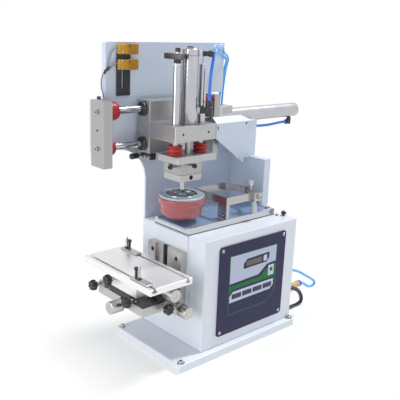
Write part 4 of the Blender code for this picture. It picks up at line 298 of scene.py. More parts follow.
class Shader:
    """One material, built node by node on a Principled shader."""

    def __init__(self, name: str) -> None:
        """Start a material of this name."""
        self.material = bpy.data.materials.new(name)
        self.material.use_nodes = True
        self.tree = self.material.node_tree
        self.surface = self.tree.nodes["Principled BSDF"]

    def node(self, kind: str, inputs: dict, **settings) -> bpy.types.Node:
        """Add a node.

        Args:
            kind: the node's type.
            inputs: socket name or index to a value, socket or field.
            **settings: the node's own properties.

        Returns:
            The new node.
        """
        made = self.tree.nodes.new(kind)
        for key, value in settings.items():
            setattr(made, key, value)
        for key, value in inputs.items():
            self.feed(made.inputs[key], value)
        return made

    def feed(self, target, value) -> None:
        """Link a field or socket to an input, or set the input to a constant."""
        if isinstance(value, Field):
            value = value.socket
        if isinstance(value, bpy.types.NodeSocket):
            self.tree.links.new(value, target)
        else:
            target.default_value = value

    def place(self) -> bpy.types.NodeSocket:
        """Object coordinates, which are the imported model's own at rest, in metres."""
        return self.node("ShaderNodeTexCoord", {}).outputs["Object"]

    def axes(self) -> tuple:
        """X, Y and Z of the shaded point as fields in millimetres."""
        split = self.node("ShaderNodeSeparateXYZ", {0: self.place()})
        return tuple(Field(self.tree, split.outputs[index]) * (1 / MM) for index in range(3))

    def noise(self, grain: float | tuple, detail: float = 2.0, shift: float = 0.0,
              stretch: float = 1.0) -> Field:
        """Noise whose features have a given length.

        Args:
            grain: one feature length, or one along each axis.
            detail: octaves.
            shift: offset that makes one noise differ from another.
            stretch: scales the feature length.

        Returns:
            The noise, about 0 to 1.
        """
        lengths = grain if isinstance(grain, tuple) else (grain,) * 3
        mapped = self.node("ShaderNodeMapping", {
            "Vector": self.place(), "Location": (shift,) * 3,
            "Scale": tuple(1.0 / (length * stretch * MM) for length in lengths)})
        made = self.node("ShaderNodeTexNoise", {
            "Vector": mapped.outputs[0], "Scale": 1.0, "Detail": detail, "Roughness": 0.6})
        return Field(self.tree, made.outputs[0])

    def blend(self, low, high: tuple, share: Field) -> bpy.types.NodeSocket:
        """Colour from low, a colour or its socket, to high by a field from 0 to 1."""
        made = self.node("ShaderNodeMix", {0: share}, data_type="RGBA")
        for index, value in ((6, low), (7, high)):
            self.feed(made.inputs[index], (*value, 1.0) if isinstance(value, tuple) else value)
        return made.outputs[2]

    def bump(self, height: Field, distance: float, strength: float) -> None:
        """Relief from a field: its full height and the share of it that shows."""
        made = self.node("ShaderNodeBump", {
            "Height": height, "Distance": distance * MM, "Strength": strength})
        self.feed(self.surface.inputs["Normal"], made.outputs[0])

    def finish(self, colour, roughness, metallic: float = 0.0, coat: float = 0.0) -> None:
        """Set the Principled shader's main inputs."""
        inputs = self.surface.inputs
        self.feed(inputs["Base Color"], (*colour, 1.0) if isinstance(colour, tuple) else colour)
        self.feed(inputs["Roughness"], roughness)
        inputs["Metallic"].default_value = metallic
        inputs["Coat Weight"].default_value = coat


class Finisher:
    """Makes each finish's material once."""

    def __init__(self) -> None:
        """Start with no material."""
        self.made = {}
        self.builders = {
            Texture.PAINT: self._paint,
            Texture.STREAKED: self._streaked,
            Texture.POLISHED: self._polished,
            Texture.MOULDED: self._moulded,
            Texture.SILICONE: self._silicone,
        }

    def material(self, finish: Finish) -> bpy.types.Material:
        """Material of a finish."""
        if finish.name not in self.made:
            shader = Shader(finish.name)
            self.builders[finish.texture](shader, finish)
            self.made[finish.name] = shader.material
        return self.made[finish.name]

    def _paint(self, shader: Shader, finish: Finish) -> None:
        """Powder coat: orange peel, faint cloudiness and a little dust in the roughness."""
        peel = shader.noise(1.1, 1.5)
        cloud = shader.noise(70.0, 2.0, 3.0)
        colour = shader.blend(finish.colour, finish.second, cloud)
        shader.finish(colour, finish.roughness + (cloud - 0.5) * 0.12, 0.0, finish.coat)
        shader.bump(peel, finish.relief, 0.6)

    def _streaked(self, shader: Shader, finish: Finish) -> None:
        """Metal with long fine streaks, broader tone bands and streaky roughness."""
        streak = shader.noise(finish.grain, 3.0)
        band = shader.noise(finish.grain, 2.0, 5.0, stretch=9)
        share = (streak * 0.55 + band * 0.45 - 0.5) * 1.7 + 0.5
        colour = shader.blend(finish.second, finish.colour, share.unit())
        shader.finish(colour, finish.roughness + (streak - 0.5) * 0.22, finish.metallic,
                      finish.coat)
        shader.bump(streak, finish.relief, 0.5)

    def _polished(self, shader: Shader, finish: Finish) -> None:
        """Ground and polished bar: nearly clean, with faint smears."""
        smear = shader.noise(finish.grain, 3.0)
        colour = shader.blend(finish.second, finish.colour, smear)
        shader.finish(colour, finish.roughness + (smear - 0.5) * 0.08, finish.metallic)
        shader.bump(smear, finish.relief, 0.4)

    def _moulded(self, shader: Shader, finish: Finish) -> None:
        """Moulded plastic, film or rubber: fine grain and soft tone changes."""
        grain = shader.noise(0.6, 2.0)
        cloud = shader.noise(12.0, 2.0, 2.0)
        colour = shader.blend(finish.colour, finish.second, cloud)
        shader.finish(colour, finish.roughness + (cloud - 0.5) * 0.16, finish.metallic,
                      finish.coat)
        shader.bump(grain, finish.relief, 0.5)

    def _silicone(self, shader: Shader, finish: Finish) -> None:
        """Cast silicone: cloudy depth, used patches that are duller, a faint skin."""
        cloud = shader.noise((18.0, 18.0, 10.0), 3.0)
        wear = shader.noise(6.0, 3.0, 4.0)
        share = ((cloud - 0.5) * 1.5 + 0.42).unit()
        colour = shader.blend(finish.colour, finish.second, share)
        shader.finish(colour, finish.roughness + (wear - 0.5) * 0.25, 0.0, finish.coat)
        shader.surface.inputs["Subsurface Weight"].default_value = 0.25
        shader.surface.inputs["Subsurface Scale"].default_value = 4.0 * MM
        shader.bump(wear, finish.relief, 0.5)


def knurl(depth: float, count: int) -> Callable:
    """Wave of a turned piece's radius: a share of it as depth, with a count of ridges."""
    return lambda turn: 1.0 + depth * np.cos(count * turn)


def groove(radius: float, level: float, depth: float) -> list:
    """Profile rows of a groove with slanted sides."""
    return [(radius, level - depth), (radius - depth, level), (radius, level + depth)]


def band(inner: float, outer: float, low: float, high: float) -> list:
    """Profile rows of a plain ring."""
    return [(inner, low), (outer, low), (outer, high), (inner, high)]


def arc(middle: tuple, radii: tuple, start: float, end: float, count: int) -> list:
    """Points along an ellipse: middle + radii * (cos t, sin t), with t in degrees.

    Args:
        middle: the ellipse's middle.
        radii: its two half widths, of which a negative one mirrors it.
        start: the first point's t.
        end: the last point's t.
        count: number of points.

    Returns:
        The points as pairs.
    """
    turn = np.radians(np.linspace(start, end, count))
    round_way = np.column_stack([np.cos(turn), np.sin(turn)])
    return (np.array(middle) + np.array(radii) * round_way).tolist()


def corners(box: Box, inset: float) -> list:
    """Places on a box's top, inset from its four corners."""
    return [(x, y, box.high.z) for x in (box.low.x + inset, box.high.x - inset)
            for y in (box.low.y + inset, box.high.y - inset)]


class Assembly:
    """A group of pieces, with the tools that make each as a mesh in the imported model's frame.

    Every tool takes the piece's name and finish. Where it also takes nodes, the piece stands for
    those CAD nodes, and where it takes a body, the piece rides on that instead of the group's own.
    """

    BODY = "frame"
    EVEN_PASSES = 8
    STRAND_TURNS = 0.7

    def __init__(self, finisher: Finisher) -> None:
        """Keep the material maker and build the group."""
        self.finisher = finisher
        self.build()

    def build(self) -> None:
        """Make every piece of the group."""
        raise NotImplementedError

    def add(self, name: str, points, faces, finish: Finish, node: str = "", body: str = "",
            sharp: float = SHARP) -> bpy.types.Object:
        """A piece from n by 3 places and lists of point numbers.

        Edges over the angle sharp, in degrees, stay sharp.
        """
        mesh = bpy.data.meshes.new(name)
        mesh.from_pydata((np.asarray(points, float) * MM).tolist(), [], faces)
        return self.keep(name, mesh, finish, node, body, sharp)

    def keep(self, name: str, mesh: bpy.types.Mesh, finish: Finish, node: str = "",
             body: str = "", sharp: float = SHARP) -> bpy.types.Object:
        """Finish a mesh as a piece: outward faces, smooth shading, material and body."""
        work = bmesh.new()
        work.from_mesh(mesh)
        bmesh.ops.recalc_face_normals(work, faces=work.faces[:])
        work.to_mesh(mesh)
        work.free()
        mesh.shade_smooth()
        mesh.set_sharp_from_angle(angle=math.radians(sharp))
        piece = bpy.data.objects.new(name, mesh)
        bpy.context.scene.collection.objects.link(piece)
        piece.data.materials.append(self.finisher.material(finish))
        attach(piece, body or self.BODY)
        if node:
            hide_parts(node)
        return piece

    @staticmethod
    def grid_faces(rows: int, columns: int, start: int = 0) -> list:
        """Faces of a grid of points that closes round its columns."""
        index = start + np.arange(rows * columns).reshape(rows, columns)
        after = np.roll(index, -1, axis=1)
        quads = np.stack([index[:-1], after[:-1], after[1:], index[1:]], axis=-1)
        return quads.reshape(-1, 4).tolist()

    @staticmethod
    def cross_axes(axis) -> tuple:
        """The unit direction of an axis, and two unit directions square to it."""
        along = np.asarray(axis, float)
        along = along / np.linalg.norm(along)
        helper = np.array((0.0, 0.0, 1.0)) if abs(along[2]) < 0.9 else np.array((0.0, 1.0, 0.0))
        side = np.cross(helper, along)
        side = side / np.linalg.norm(side)
        return along, side, np.cross(along, side)

    def turned(self, name: str, places, axis, profile, finish: Finish, sides: int = SMALL,
               node: str = "", body: str = "", wave: Callable | None = None,
               sharp: float = SHARP,
               ring: bool = False) -> bpy.types.Object:
        """A turned piece, or several alike, from a profile of radius and height.

        A point is place + height * axis + radius * (cos t * side + sin t * across), with the radius
        times wave(t) where a wave is given. A row's third number blends its circle into a hexagon
        of that corner radius: cos 30 / cos((t mod 60) - 30), in degrees.

        Args:
            name: the piece's name.
            places: one place or a list of places of the profile's foot.
            axis: the turning axis, a Way or three numbers.
            profile: (radius, height) or (radius, height, hexagon share) rows from the foot on.
            finish: its finish.
            sides: points round it.
            node: the CAD node that it stands for, if any.
            body: the body that it rides on, if not the group's.
            wave: function of the turn that scales the radius.
            sharp: edges over this angle in degrees stay sharp.
            ring: whether the profile closes on itself, with an open middle, and isn't capped.

        Returns:
            The new object.
        """
        along, side, across = self.cross_axes(axis.value if isinstance(axis, Way) else axis)
        shape = np.array([(*row, 0.0)[:3] for row in profile], float)
        turn = np.linspace(0, TAU, sides, endpoint=False)
        scale = np.ones(sides) if wave is None else wave(turn)
        sector = math.pi / 3
        hexagon = math.cos(sector / 2) / np.cos(turn % sector - sector / 2)
        radius = shape[:, 0, None] * (scale + shape[:, 2, None] * (hexagon - 1.0))
        round_way = np.cos(turn)[:, None] * side + np.sin(turn)[:, None] * across
        single = radius[..., None] * round_way[None] + shape[:, 1, None, None] * along
        single = single.reshape(-1, 3)
        places = np.atleast_2d(np.asarray(places, float))
        points = (places[:, None, :] + single[None]).reshape(-1, 3)
        faces = []
        for start in range(0, len(points), len(single)):
            first = np.arange(start, start + sides)
            last = first + len(single) - sides
            faces += self.grid_faces(len(shape), sides, start)
            if ring:
                close = np.stack([last, np.roll(last, -1), np.roll(first, -1), first], axis=-1)
                faces += close.tolist()
            else:
                faces += [first.tolist(), last.tolist()]
        return self.add(name, points, faces, finish, node, body, sharp)

    def bolts(self, name: str, size: Screw, places, axis: Way, finish: Finish = STAINLESS,
              body: str = "") -> None:
        """Screw heads alike, each with a rounded edge and a hexagonal socket.

        Args:
            name: the piece's name.
            size: sizes of one head.
            places: middle of the head's seat, or a list of them.
            axis: the way that the heads point.
            finish: their finish.
            body: the body that they ride on, if not the group's.
        """
        dome = min(size.radius * size.dome, size.height * 0.9)
        crown = arc((size.radius - dome, size.height - dome), (dome, dome), 0, 90, 6)
        socket = size.radius * size.recess
        profile = [(size.radius, -SEAT), *crown, (socket * 1.1, size.height),
                   (socket, size.height - dome * 0.1, 1.0), (socket, size.height * 0.3, 1.0)]
        self.turned(name, places, axis, profile, finish, MIDDLE, body=body)

    def washered(self, name: str, size: Screw, places: list, way: Way, washer: tuple,
                 sides: int) -> None:
        """Bolts, each on a washer.

        Args:
            name: start of both pieces' names.
            size: sizes of one head.
            places: middles of the washers' seats.
            way: the way that the heads point.
            washer: a washer's radius and height.
            sides: points round a washer.
        """
        radius, height = washer
        self.turned(f"{name}_washers", places, way, [(radius, -SEAT), (radius, height)],
                    STAINLESS, sides)
        heads = [Vector(place) + Vector(way.value) * (height - SEAT) for place in places]
        self.bolts(f"{name}_bolts", size, heads, way)

    def boxed(self, name: str, low, high, finish: Finish, edge: float = 0.4, node: str = "",
              body: str = "") -> None:
        """A box between two corners, with its edges rounded over the width edge."""
        low = Vector(low) * MM
        high = Vector(high) * MM
        work = bmesh.new()
        bmesh.ops.create_cube(work, size=1.0)
        bmesh.ops.scale(work, vec=high - low, verts=work.verts[:])
        bmesh.ops.translate(work, vec=(low + high) / 2, verts=work.verts[:])
        bmesh.ops.bevel(work, geom=work.edges[:], offset=edge * MM, segments=3, profile=0.5,
                        affect="EDGES")
        mesh = bpy.data.meshes.new(name)
        work.to_mesh(mesh)
        work.free()
        self.keep(name, mesh, finish, node, body)

    def prism(self, name: str, outline: list, axis: str, low: float, high: float,
              finish: Finish, edge: float = 0.0) -> None:
        """An outline in the plane square to an axis, carried from low to high along it.

        Args:
            name: the piece's name.
            outline: the outline's points.
            axis: "x" for an outline in Y and Z, "z" for one in X and Y.
            low: where it starts along the axis.
            high: where it ends.
            finish: its finish.
            edge: width of its rounded edges, or 0.
        """
        order = {"x": (2, 0, 1), "z": (0, 1, 2)}[axis]
        count = len(outline)
        both = np.concatenate([np.column_stack([outline, np.full(count, level)])
                               for level in (low, high)])
        faces = [list(range(count)), list(range(count, 2 * count)), *self.grid_faces(2, count)]
        mesh = bpy.data.meshes.new(name)
        mesh.from_pydata((both[:, order] * MM).tolist(), [], faces)
        if edge:
            work = bmesh.new()
            work.from_mesh(mesh)
            rim = [line for line in work.edges
                   if len(line.link_faces) == 2 and line.calc_face_angle() > math.radians(60)]
            bmesh.ops.bevel(work, geom=rim, offset=edge * MM, segments=2, profile=0.5,
                            affect="EDGES")
            work.to_mesh(mesh)
            work.free()
        self.keep(name, mesh, finish)

    def line(self, name: str, route: tuple, radius: float, finish: Finish, *nodes: str,
             sides: int = 20, strands: int = 1, lay: float = 0.0, body: str = "") -> tuple:
        """A round tube, or strands laid round one another, that rides on one body.

        It runs along a smooth curve. Each ring is turned with the least twist from the one before.
        A strand's middle is the curve's point plus lay * (cos a * side + sin a * across), where a
        grows evenly along it.

        Args:
            name: the piece's name.
            route: the route's points.
            radius: the tube's radius.
            finish: its finish.
            *nodes: the CAD nodes that it stands for.
            sides: points round it.
            strands: number of strands.
            lay: distance of each strand's middle from the curve.
            body: the body that it rides on, if not the group's.

        Returns:
            The new object, and the curve's points in metres.
        """
        path = self.curve(route, radius)
        ahead = np.gradient(path, axis=0)
        ahead /= np.linalg.norm(ahead, axis=1)[:, None]
        _, side, _ = self.cross_axes(ahead[0])
        sides_of = []
        for direction in ahead:
            side = side - direction * (side @ direction)
            side = side / np.linalg.norm(side)
            sides_of.append(side)
        first = np.array(sides_of)
        second = np.cross(ahead, first)
        turn = np.linspace(0, TAU, sides, endpoint=False)
        rings = path[:, None, :] + radius * (np.cos(turn)[None, :, None] * first[:, None, :]
                                             + np.sin(turn)[None, :, None] * second[:, None, :])
        count = len(path) * sides
        points = []
        faces = []
        for strand in range(strands):
            share = strand / strands + self.STRAND_TURNS * np.linspace(0, 1, len(path))
            angle = TAU * share[:, None]
            shift = lay * (np.cos(angle) * first + np.sin(angle) * second)
            points.append((rings + shift[:, None, :]).reshape(-1, 3))
            start = strand * count
            faces += self.grid_faces(len(path), sides, start)
            faces += [list(range(start, start + sides)),
                      list(range(start + count - sides, start + count))]
        piece = self.add(name, np.concatenate(points), faces, finish, "", body, 60.0)
        path = path * MM
        if nodes:
            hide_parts(*nodes)
        return piece, path

    def curve(self, route, radius: float) -> np.ndarray:
        """Close points of a Catmull-Rom spline through a route, its inner points evened out.

        In each pass an inner point becomes half itself and a quarter of each neighbour.
        """
        points = np.asarray(route, float)
        ends = np.vstack([2 * points[0] - points[1], points, 2 * points[-1] - points[-2]])
        path = [points[:1]]
        for index in range(1, len(ends) - 2):
            before, start, end, after = ends[index - 1:index + 3]
            count = max(2, int(np.linalg.norm(end - start) / radius))
            t = (np.arange(count) + 1)[:, None] / count
            path.append(0.5 * (2 * start + (end - before) * t
                               + (2 * before - 5 * start + 4 * end - after) * t ** 2
                               + (3 * start - before - 3 * end + after) * t ** 3))
        path = np.concatenate(path)
        for _ in range(self.EVEN_PASSES):
            path[1:-1] = (path[:-2] + 2 * path[1:-1] + path[2:]) / 4
        return path


class Studio:
    """Camera, lights, floor and surroundings, with lengths in metres."""

    @dataclass
    class Camera:
        """The photograph's camera."""

        azimuth: float = math.radians(47.36)
        pitch: float = math.radians(15.71)
        roll: float = math.radians(2.28)
        place: tuple = (0.8487, -0.8163, 0.6053)
        lens: float = 56.82
        sensor: float = 36.0
        pixels: int = 400

    @dataclass
    class Lamp:
        """One area lamp that looks at the machine's middle."""

        name: str
        place: tuple
        size: float
        power: float
        colour: tuple = (1.0, 1.0, 1.0)

    LAMPS = (
        Lamp("front_light", (-0.3, -2.2, 0.5), 1.4, 21.0),
        Lamp("side_light", (2.2, 0.3, 1.0), 1.5, 1.2, (0.93, 0.97, 1.0)),
    )
    TARGET = Vector((0.0, 0.0, 0.3))
    SUN_AHEAD = Vector((-0.10, -0.50, -0.86))
    SUN_STRENGTH = 2.2
    SUN_WIDTH = math.radians(9)
    AMBIENT = 0.50
    AMBIENT_COLOUR = (0.84, 0.92, 1.0, 1.0)
    FLOOR_HALF = 6.0
    FADE_START = 0.02
    FADE_END = 0.16

    def __init__(self) -> None:
        """Make the whole studio."""
        self.make_camera()
        self.make_lamps()
        self.make_floor()
        self.make_world()
        bpy.context.scene.view_settings.view_transform = "Standard"
        bpy.context.scene.view_settings.look = "None"

    def make_camera(self) -> None:
        """Place the camera as the photograph's."""
        spec = self.Camera()
        flat = math.cos(spec.pitch)
        ahead = Vector((-math.sin(spec.azimuth) * flat, math.cos(spec.azimuth) * flat,
                        -math.sin(spec.pitch)))
        turn = Matrix.Rotation(spec.roll, 3, -ahead)
        level = ahead.cross(Vector((0, 0, 1))).normalized()
        right = turn @ level
        up = turn @ level.cross(ahead)
        data = bpy.data.cameras.new("camera")
        data.lens = spec.lens
        data.sensor_width = spec.sensor
        camera = bpy.data.objects.new("camera", data)
        axes = Matrix((right, up, -ahead)).transposed().to_4x4()
        camera.matrix_world = Matrix.Translation(spec.place) @ axes
        scene = bpy.context.scene
        scene.collection.objects.link(camera)
        scene.camera = camera
        scene.render.resolution_x = spec.pixels
        scene.render.resolution_y = spec.pixels

    def make_lamps(self) -> None:
        """Two soft lamps, in front and at the panel side, and a wide sun."""
        for lamp in self.LAMPS:
            data = self.light(lamp.name, "AREA", self.TARGET - Vector(lamp.place), lamp.place)
            data.size = lamp.size
            data.energy = lamp.power
            data.color = lamp.colour
        data = self.light("high_light", "SUN", self.SUN_AHEAD)
        data.energy = self.SUN_STRENGTH
        data.angle = self.SUN_WIDTH

    @staticmethod
    def light(name: str, kind: str, ahead: Vector,
              place: tuple = (0.0, 0.0, 0.0)) -> bpy.types.Light:
        """Add a light of a kind that shines ahead, and return its data."""
        data = bpy.data.lights.new(name, kind)
        thing = bpy.data.objects.new(name, data)
        thing.location = place
        thing.rotation_euler = ahead.to_track_quat("-Z", "Y").to_euler()
        bpy.context.scene.collection.objects.link(thing)
        return data

    def make_floor(self) -> None:
        """A plain pale floor that fades to the white surroundings away from the base plate.

        The fade's share is the distance from the base plate's sides, over the fade's width.
        """
        half = self.FLOOR_HALF
        mesh = bpy.data.meshes.new("floor")
        mesh.from_pydata([(-half, -half, 0), (half, -half, 0), (half, half, 0), (-half, half, 0)],
                         [], [(0, 1, 2, 3)])
        floor = bpy.data.objects.new("floor", mesh)
        bpy.context.scene.collection.objects.link(floor)
        shader = Shader("pale_floor")
        shader.finish((0.93, 0.93, 0.93), 0.9)
        shader.surface.inputs["Specular IOR Level"].default_value = 0.0
        plate = Box.of("base_plate")
        x, y, _ = shader.axes()
        across = (abs(x) - plate.high.x).high(0.0)
        along = (abs(y) - plate.high.y).high(0.0)
        far = (across * across + along * along).root() * MM
        share = ((far - self.FADE_START) * (1.0 / (self.FADE_END - self.FADE_START))).unit()
        glow = shader.node("ShaderNodeEmission", {"Strength": 1.0})
        mix = shader.node("ShaderNodeMixShader", {
            0: share * 0.5 + 0.5, 1: shader.surface.outputs[0], 2: glow.outputs[0]})
        shader.feed(shader.tree.nodes["Material Output"].inputs["Surface"], mix.outputs[0])
        mesh.materials.append(shader.material)

    def make_world(self) -> None:
        """White surroundings for what the camera and the shiny pieces see, paler for the rest."""
        world = bpy.data.worlds.new("white_surroundings")
        world.use_nodes = True
        tree = world.node_tree
        fill = tree.nodes["Background"]
        fill.inputs["Color"].default_value = self.AMBIENT_COLOUR
        fill.inputs["Strength"].default_value = self.AMBIENT
        white = tree.nodes.new("ShaderNodeBackground")
        white.inputs["Color"].default_value = (1.0, 1.0, 1.0, 1.0)
        rays = tree.nodes.new("ShaderNodeLightPath")
        camera, glossy, through = (Field(tree, rays.outputs[f"Is {kind} Ray"])
                                   for kind in ("Camera", "Glossy", "Transmission"))
        seen = camera.high(glossy).high(through)
        mix = tree.nodes.new("ShaderNodeMixShader")
        for index, source in enumerate((seen.socket, fill.outputs[0], white.outputs[0])):
            tree.links.new(source, mix.inputs[index])
        tree.links.new(mix.outputs[0], tree.nodes["World Output"].inputs["Surface"])
        bpy.context.scene.world = world


class AirLines(Assembly):
    """Air tubes and cables, along the same routes as the CAD solids."""

    AIR = 2.9
    THIN = 2.0
    CABLE = 2.1
    CABLE_LAY = 2.5
    CABLE_STRANDS = 3
    PALE_FROM = -35.0
    PALE_OVER = 30.0
    HEAD_TO_WALL = (
        (19.8, -39.9, 470.8), (19.8, -39.9, 485.8), (20.8, -39.9, 515.8), (17.8, -31.9, 545.8),
        (7.8, -21.9, 558.8), (-10.2, -3.9, 562.8), (-30.2, 20.1, 564.8), (-49.9, 52.1, 556.8),
        (-64.2, 58.1, 554.8), (-80.5, 78.1, 547.8), (-91.5, 108.1, 533.8),
        (-100.5, 111.1, 512.8), (-106.5, 108.1, 469.8), (-107.5, 105.1, 414.8),
        (-104.5, 102.1, 389.8), (-101.0, 102.1, 383.8), (-97.3, 102.1, 382.8),
    )
    UPPER_TO_WALL = (
        (20.5, -34.0, 554.5), (17.0, -20.0, 560.0), (6.0, -6.0, 565.0), (-12.0, 13.0, 567.0),
        (-33.0, 36.0, 566.0), (-52.0, 58.0, 562.0), (-68.0, 75.0, 559.0), (-85.0, 93.0, 550.0),
        (-95.5, 116.5, 536.0), (-103.5, 118.5, 513.0), (-106.5, 116.0, 470.0),
        (-106.5, 113.0, 415.0), (-104.0, 111.0, 392.0), (-97.3, 111.0, 385.0),
    )
    SHUTTLE = (
        (-68.0, 278.0, 397.8), (-68.0, 262.6, 397.8), (-68.0, 216.4, 394.9),
        (-68.0, 170.2, 396.4), (-68.0, 154.8, 396.4),
    )
    SUPPLY = (
        (50.0, 228.1, 60.3), (50.0, 236.1, 60.3), (50.0, 247.1, 51.3), (50.0, 260.1, 43.3),
        (50.0, 275.1, 40.8), (50.0, 283.8, 44.8), (50.0, 282.6, 51.8), (50.0, 272.6, 57.3),
        (50.0, 256.1, 67.8), (50.0, 239.1, 78.3), (50.0, 218.1, 90.3), (50.0, 198.1, 98.3),
        (50.0, 178.1, 102.3), (50.0, 164.8, 103.3), (50.0, 155.4, 103.3),
    )
    CABLES = (
        (72.0, 155.4, 72.8), (72.0, 164.8, 72.8), (72.0, 174.8, 70.3), (72.0, 188.8, 63.3),
        (72.0, 198.8, 55.3), (72.0, 207.3, 42.3), (72.0, 208.3, 31.3), (72.0, 198.8, 25.8),
        (72.0, 184.8, 25.3), (72.0, 164.8, 26.3), (72.0, 155.4, 26.3),
    )

    def build(self) -> None:
        """Make every line."""
        self.line("shuttle_line", self.SHUTTLE, self.AIR, BLUE, "shuttle_air_tube")
        self.line("supply_line", self.SUPPLY, self.AIR, CYAN, "air_supply_tube")
        self.line("mains_cables", self.CABLES, self.CABLE, BLACK, "cable_bundle", sides=16,
                  strands=self.CABLE_STRANDS, lay=self.CABLE_LAY)
        self.head_line("head_line", self.HEAD_TO_WALL, self.AIR, "lift_air_line",
                       "panel_air_line")
        self.head_line("upper_line", self.UPPER_TO_WALL, self.THIN)

    def head_line(self, name: str, route: tuple, radius: float, *nodes: str) -> None:
        """A line from the lift cylinder over the head and round the upper panel's rear edge.

        It is made on the head's body, then taken off every body and fixed where it lies at rest.

        Args:
            name: the piece's name.
            route: its route's points.
            radius: its radius.
            *nodes: the CAD nodes that it stands for.
        """
        piece, path = self.line(name, route, radius, BLUE, *nodes, body="head")
        self.colour_along(piece, f"{name}_tube")
        piece.parent = None
        piece.matrix_world = Matrix.Identity(4)
        if "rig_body" in piece:
            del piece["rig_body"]
        panel = Box.of("upper_panel").high * MM
        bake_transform(piece)

    def colour_along(self, piece: bpy.types.Object, name: str) -> None:
        """The blue tube pales to cyan where the light comes through it, towards the rear."""
        shader = Shader(name)
        _, y, _ = shader.axes()
        share = ((y - self.PALE_FROM) * (1.0 / self.PALE_OVER)).unit()
        cloud = shader.noise(10.0)
        colour = shader.blend(BLUE.colour, CYAN.colour, share)
        shader.finish(colour, 0.20 + cloud * 0.08, coat=0.5)
        piece.data.materials[0] = shader.material


class ControlPanel(Assembly):
    """Printed artwork of the control panel, with its corner screws.

    The artwork is made of masks over Y and Z of the film: each is the distance inside an outline,
    turned into 0 or 1 over a soft edge.
    """

    SOFT_EDGE = 0.16
    GREEN = (0.006, 0.175, 0.035)
    LIGHT = (0.52, 0.56, 0.72)
    PALE = (0.62, 0.66, 0.82)
    WINDOW = (0.155, 0.140, 0.115)
    FRAME_LINE = ((-32.9, 191.8), (96.0, 190.6), (95.5, 90.3), (71.2, 73.5), (-32.1, 73.5))
    FRAME_WIDTH = 1.6
    FIELD = ((-32.6, 191.4), (95.7, 190.2), (95.0, 130.0), (-33.2, 130.0))
    FIELD_FOOT = ((-33.4, 136.6), (46.7, 138.4), (69.1, 154.8), (94.6, 156.7))
    BAND = ((-33.2, 124.3), (95.7, 124.3), (95.7, 153.0), (-33.2, 153.0))
    BAND_TOP = ((-33.4, 130.8), (52.0, 132.6), (74.5, 149.2), (95.7, 150.2))
    BAND_TAIL = ((-33.2, 115.0), (-24.0, 124.6), (-33.2, 130.6))
    POWER_FIELD = ((74.3, 129.0), (90.4, 129.0), (90.4, 150.7), (74.3, 150.7))
    WINDOW_FRAME = ((3.5, 159.3), (3.5, 170.0), (12.0, 178.0), (75.1, 179.4), (75.1, 168.0),
                    (67.0, 160.0))
    WINDOW_GLASS = ((10.7, 163.0), (54.2, 163.4), (54.2, 174.5), (10.7, 174.0))
    WINDOW_KEY = ((58.7, 163.0), (68.3, 163.2), (68.3, 175.2), (58.7, 175.0))
    KEY_FIELD = ((-30.7, 98.0), (82.0, 98.6), (91.0, 106.0), (91.0, 119.5), (-22.0, 119.5),
                 (-30.7, 111.0))
    CORNER_INSET = 7.4
    SCREW = Screw(3.5, 1.4, 0.6, 0.42)

    def build(self) -> None:
        """Print the film and add the screws."""
        self.shader = Shader("printed_panel_film")
        _, self.y, self.z = self.shader.axes()
        self.print_film()
        thing = frame["nodes"]["control_panel"]
        thing.data.materials.clear()
        thing.data.materials.append(self.shader.material)
        panel = Box.of("control_panel")
        inset = self.CORNER_INSET
        places = [(panel.high.x, y, z) for y in (panel.low.y + inset, panel.high.y - inset)
                  for z in (panel.low.z + inset, panel.high.z - inset)]
        self.bolts("panel_screws", self.SCREW, places, Way.RIGHT)

    def beside(self, start: tuple, end: tuple, inner: tuple) -> Field:
        """Distance from the line through two points, positive on the inner point's side.

        Args:
            start: Y and Z of a point on the line.
            end: Y and Z of another.
            inner: a point on the positive side.

        Returns:
            The distance in millimetres.
        """
        run = (end[0] - start[0], end[1] - start[1])
        length = math.hypot(*run)
        across = (-run[1] / length, run[0] / length)
        offset = across[0] * start[0] + across[1] * start[1]
        side = math.copysign(1.0, across[0] * inner[0] + across[1] * inner[1] - offset)
        return self.y * (side * across[0]) + self.z * (side * across[1]) - side * offset

    def inside(self, outline: tuple) -> Field:
        """Distance inside a convex outline, negative outside it."""
        middle = tuple(np.mean(outline, axis=0))
        depth, *others = [self.beside(start, end, middle)
                          for start, end in zip(outline, outline[1:] + outline[:1])]
        for line in others:
            depth = depth.low(line)
        return depth

    def above(self, chain: tuple) -> Field:
        """Distance above a line that rises in its second stretch and levels in its third."""
        first, second, third = (self.beside(start, end, (start[0], start[1] + 1.0))
                                for start, end in zip(chain, chain[1:]))
        return first.low(second.high(third))

    def print_film(self) -> None:
        """Lay the printed colours over one another."""
        band = self.inside(self.BAND).low(0.0 - self.above(self.BAND_TOP))
        layers = (
            (self.inside(self.FIELD).low(self.above(self.FIELD_FOOT)), self.LIGHT),
            (band.high(self.inside(self.BAND_TAIL)), self.GREEN),
            (self.FRAME_WIDTH / 2 - abs(self.inside(self.FRAME_LINE)), self.GREEN),
            (self.inside(self.POWER_FIELD), self.PALE),
            (self.inside(self.WINDOW_FRAME), NAVY.colour),
            (self.inside(self.WINDOW_GLASS), self.WINDOW),
            (self.inside(self.WINDOW_KEY), self.PALE),
            (self.inside(self.KEY_FIELD), self.PALE),
        )
        cloud = self.shader.noise(30.0)
        colour = self.shader.blend(NAVY.colour, NAVY.second, cloud)
        for depth, ink in layers:
            share = (depth * (1.0 / self.SOFT_EDGE) + 0.5).unit()
            colour = self.shader.blend(colour, ink, share)
        self.shader.finish(colour, NAVY.roughness + (cloud - 0.5) * 0.1)
        self.shader.surface.inputs["Specular IOR Level"].default_value = 0.25


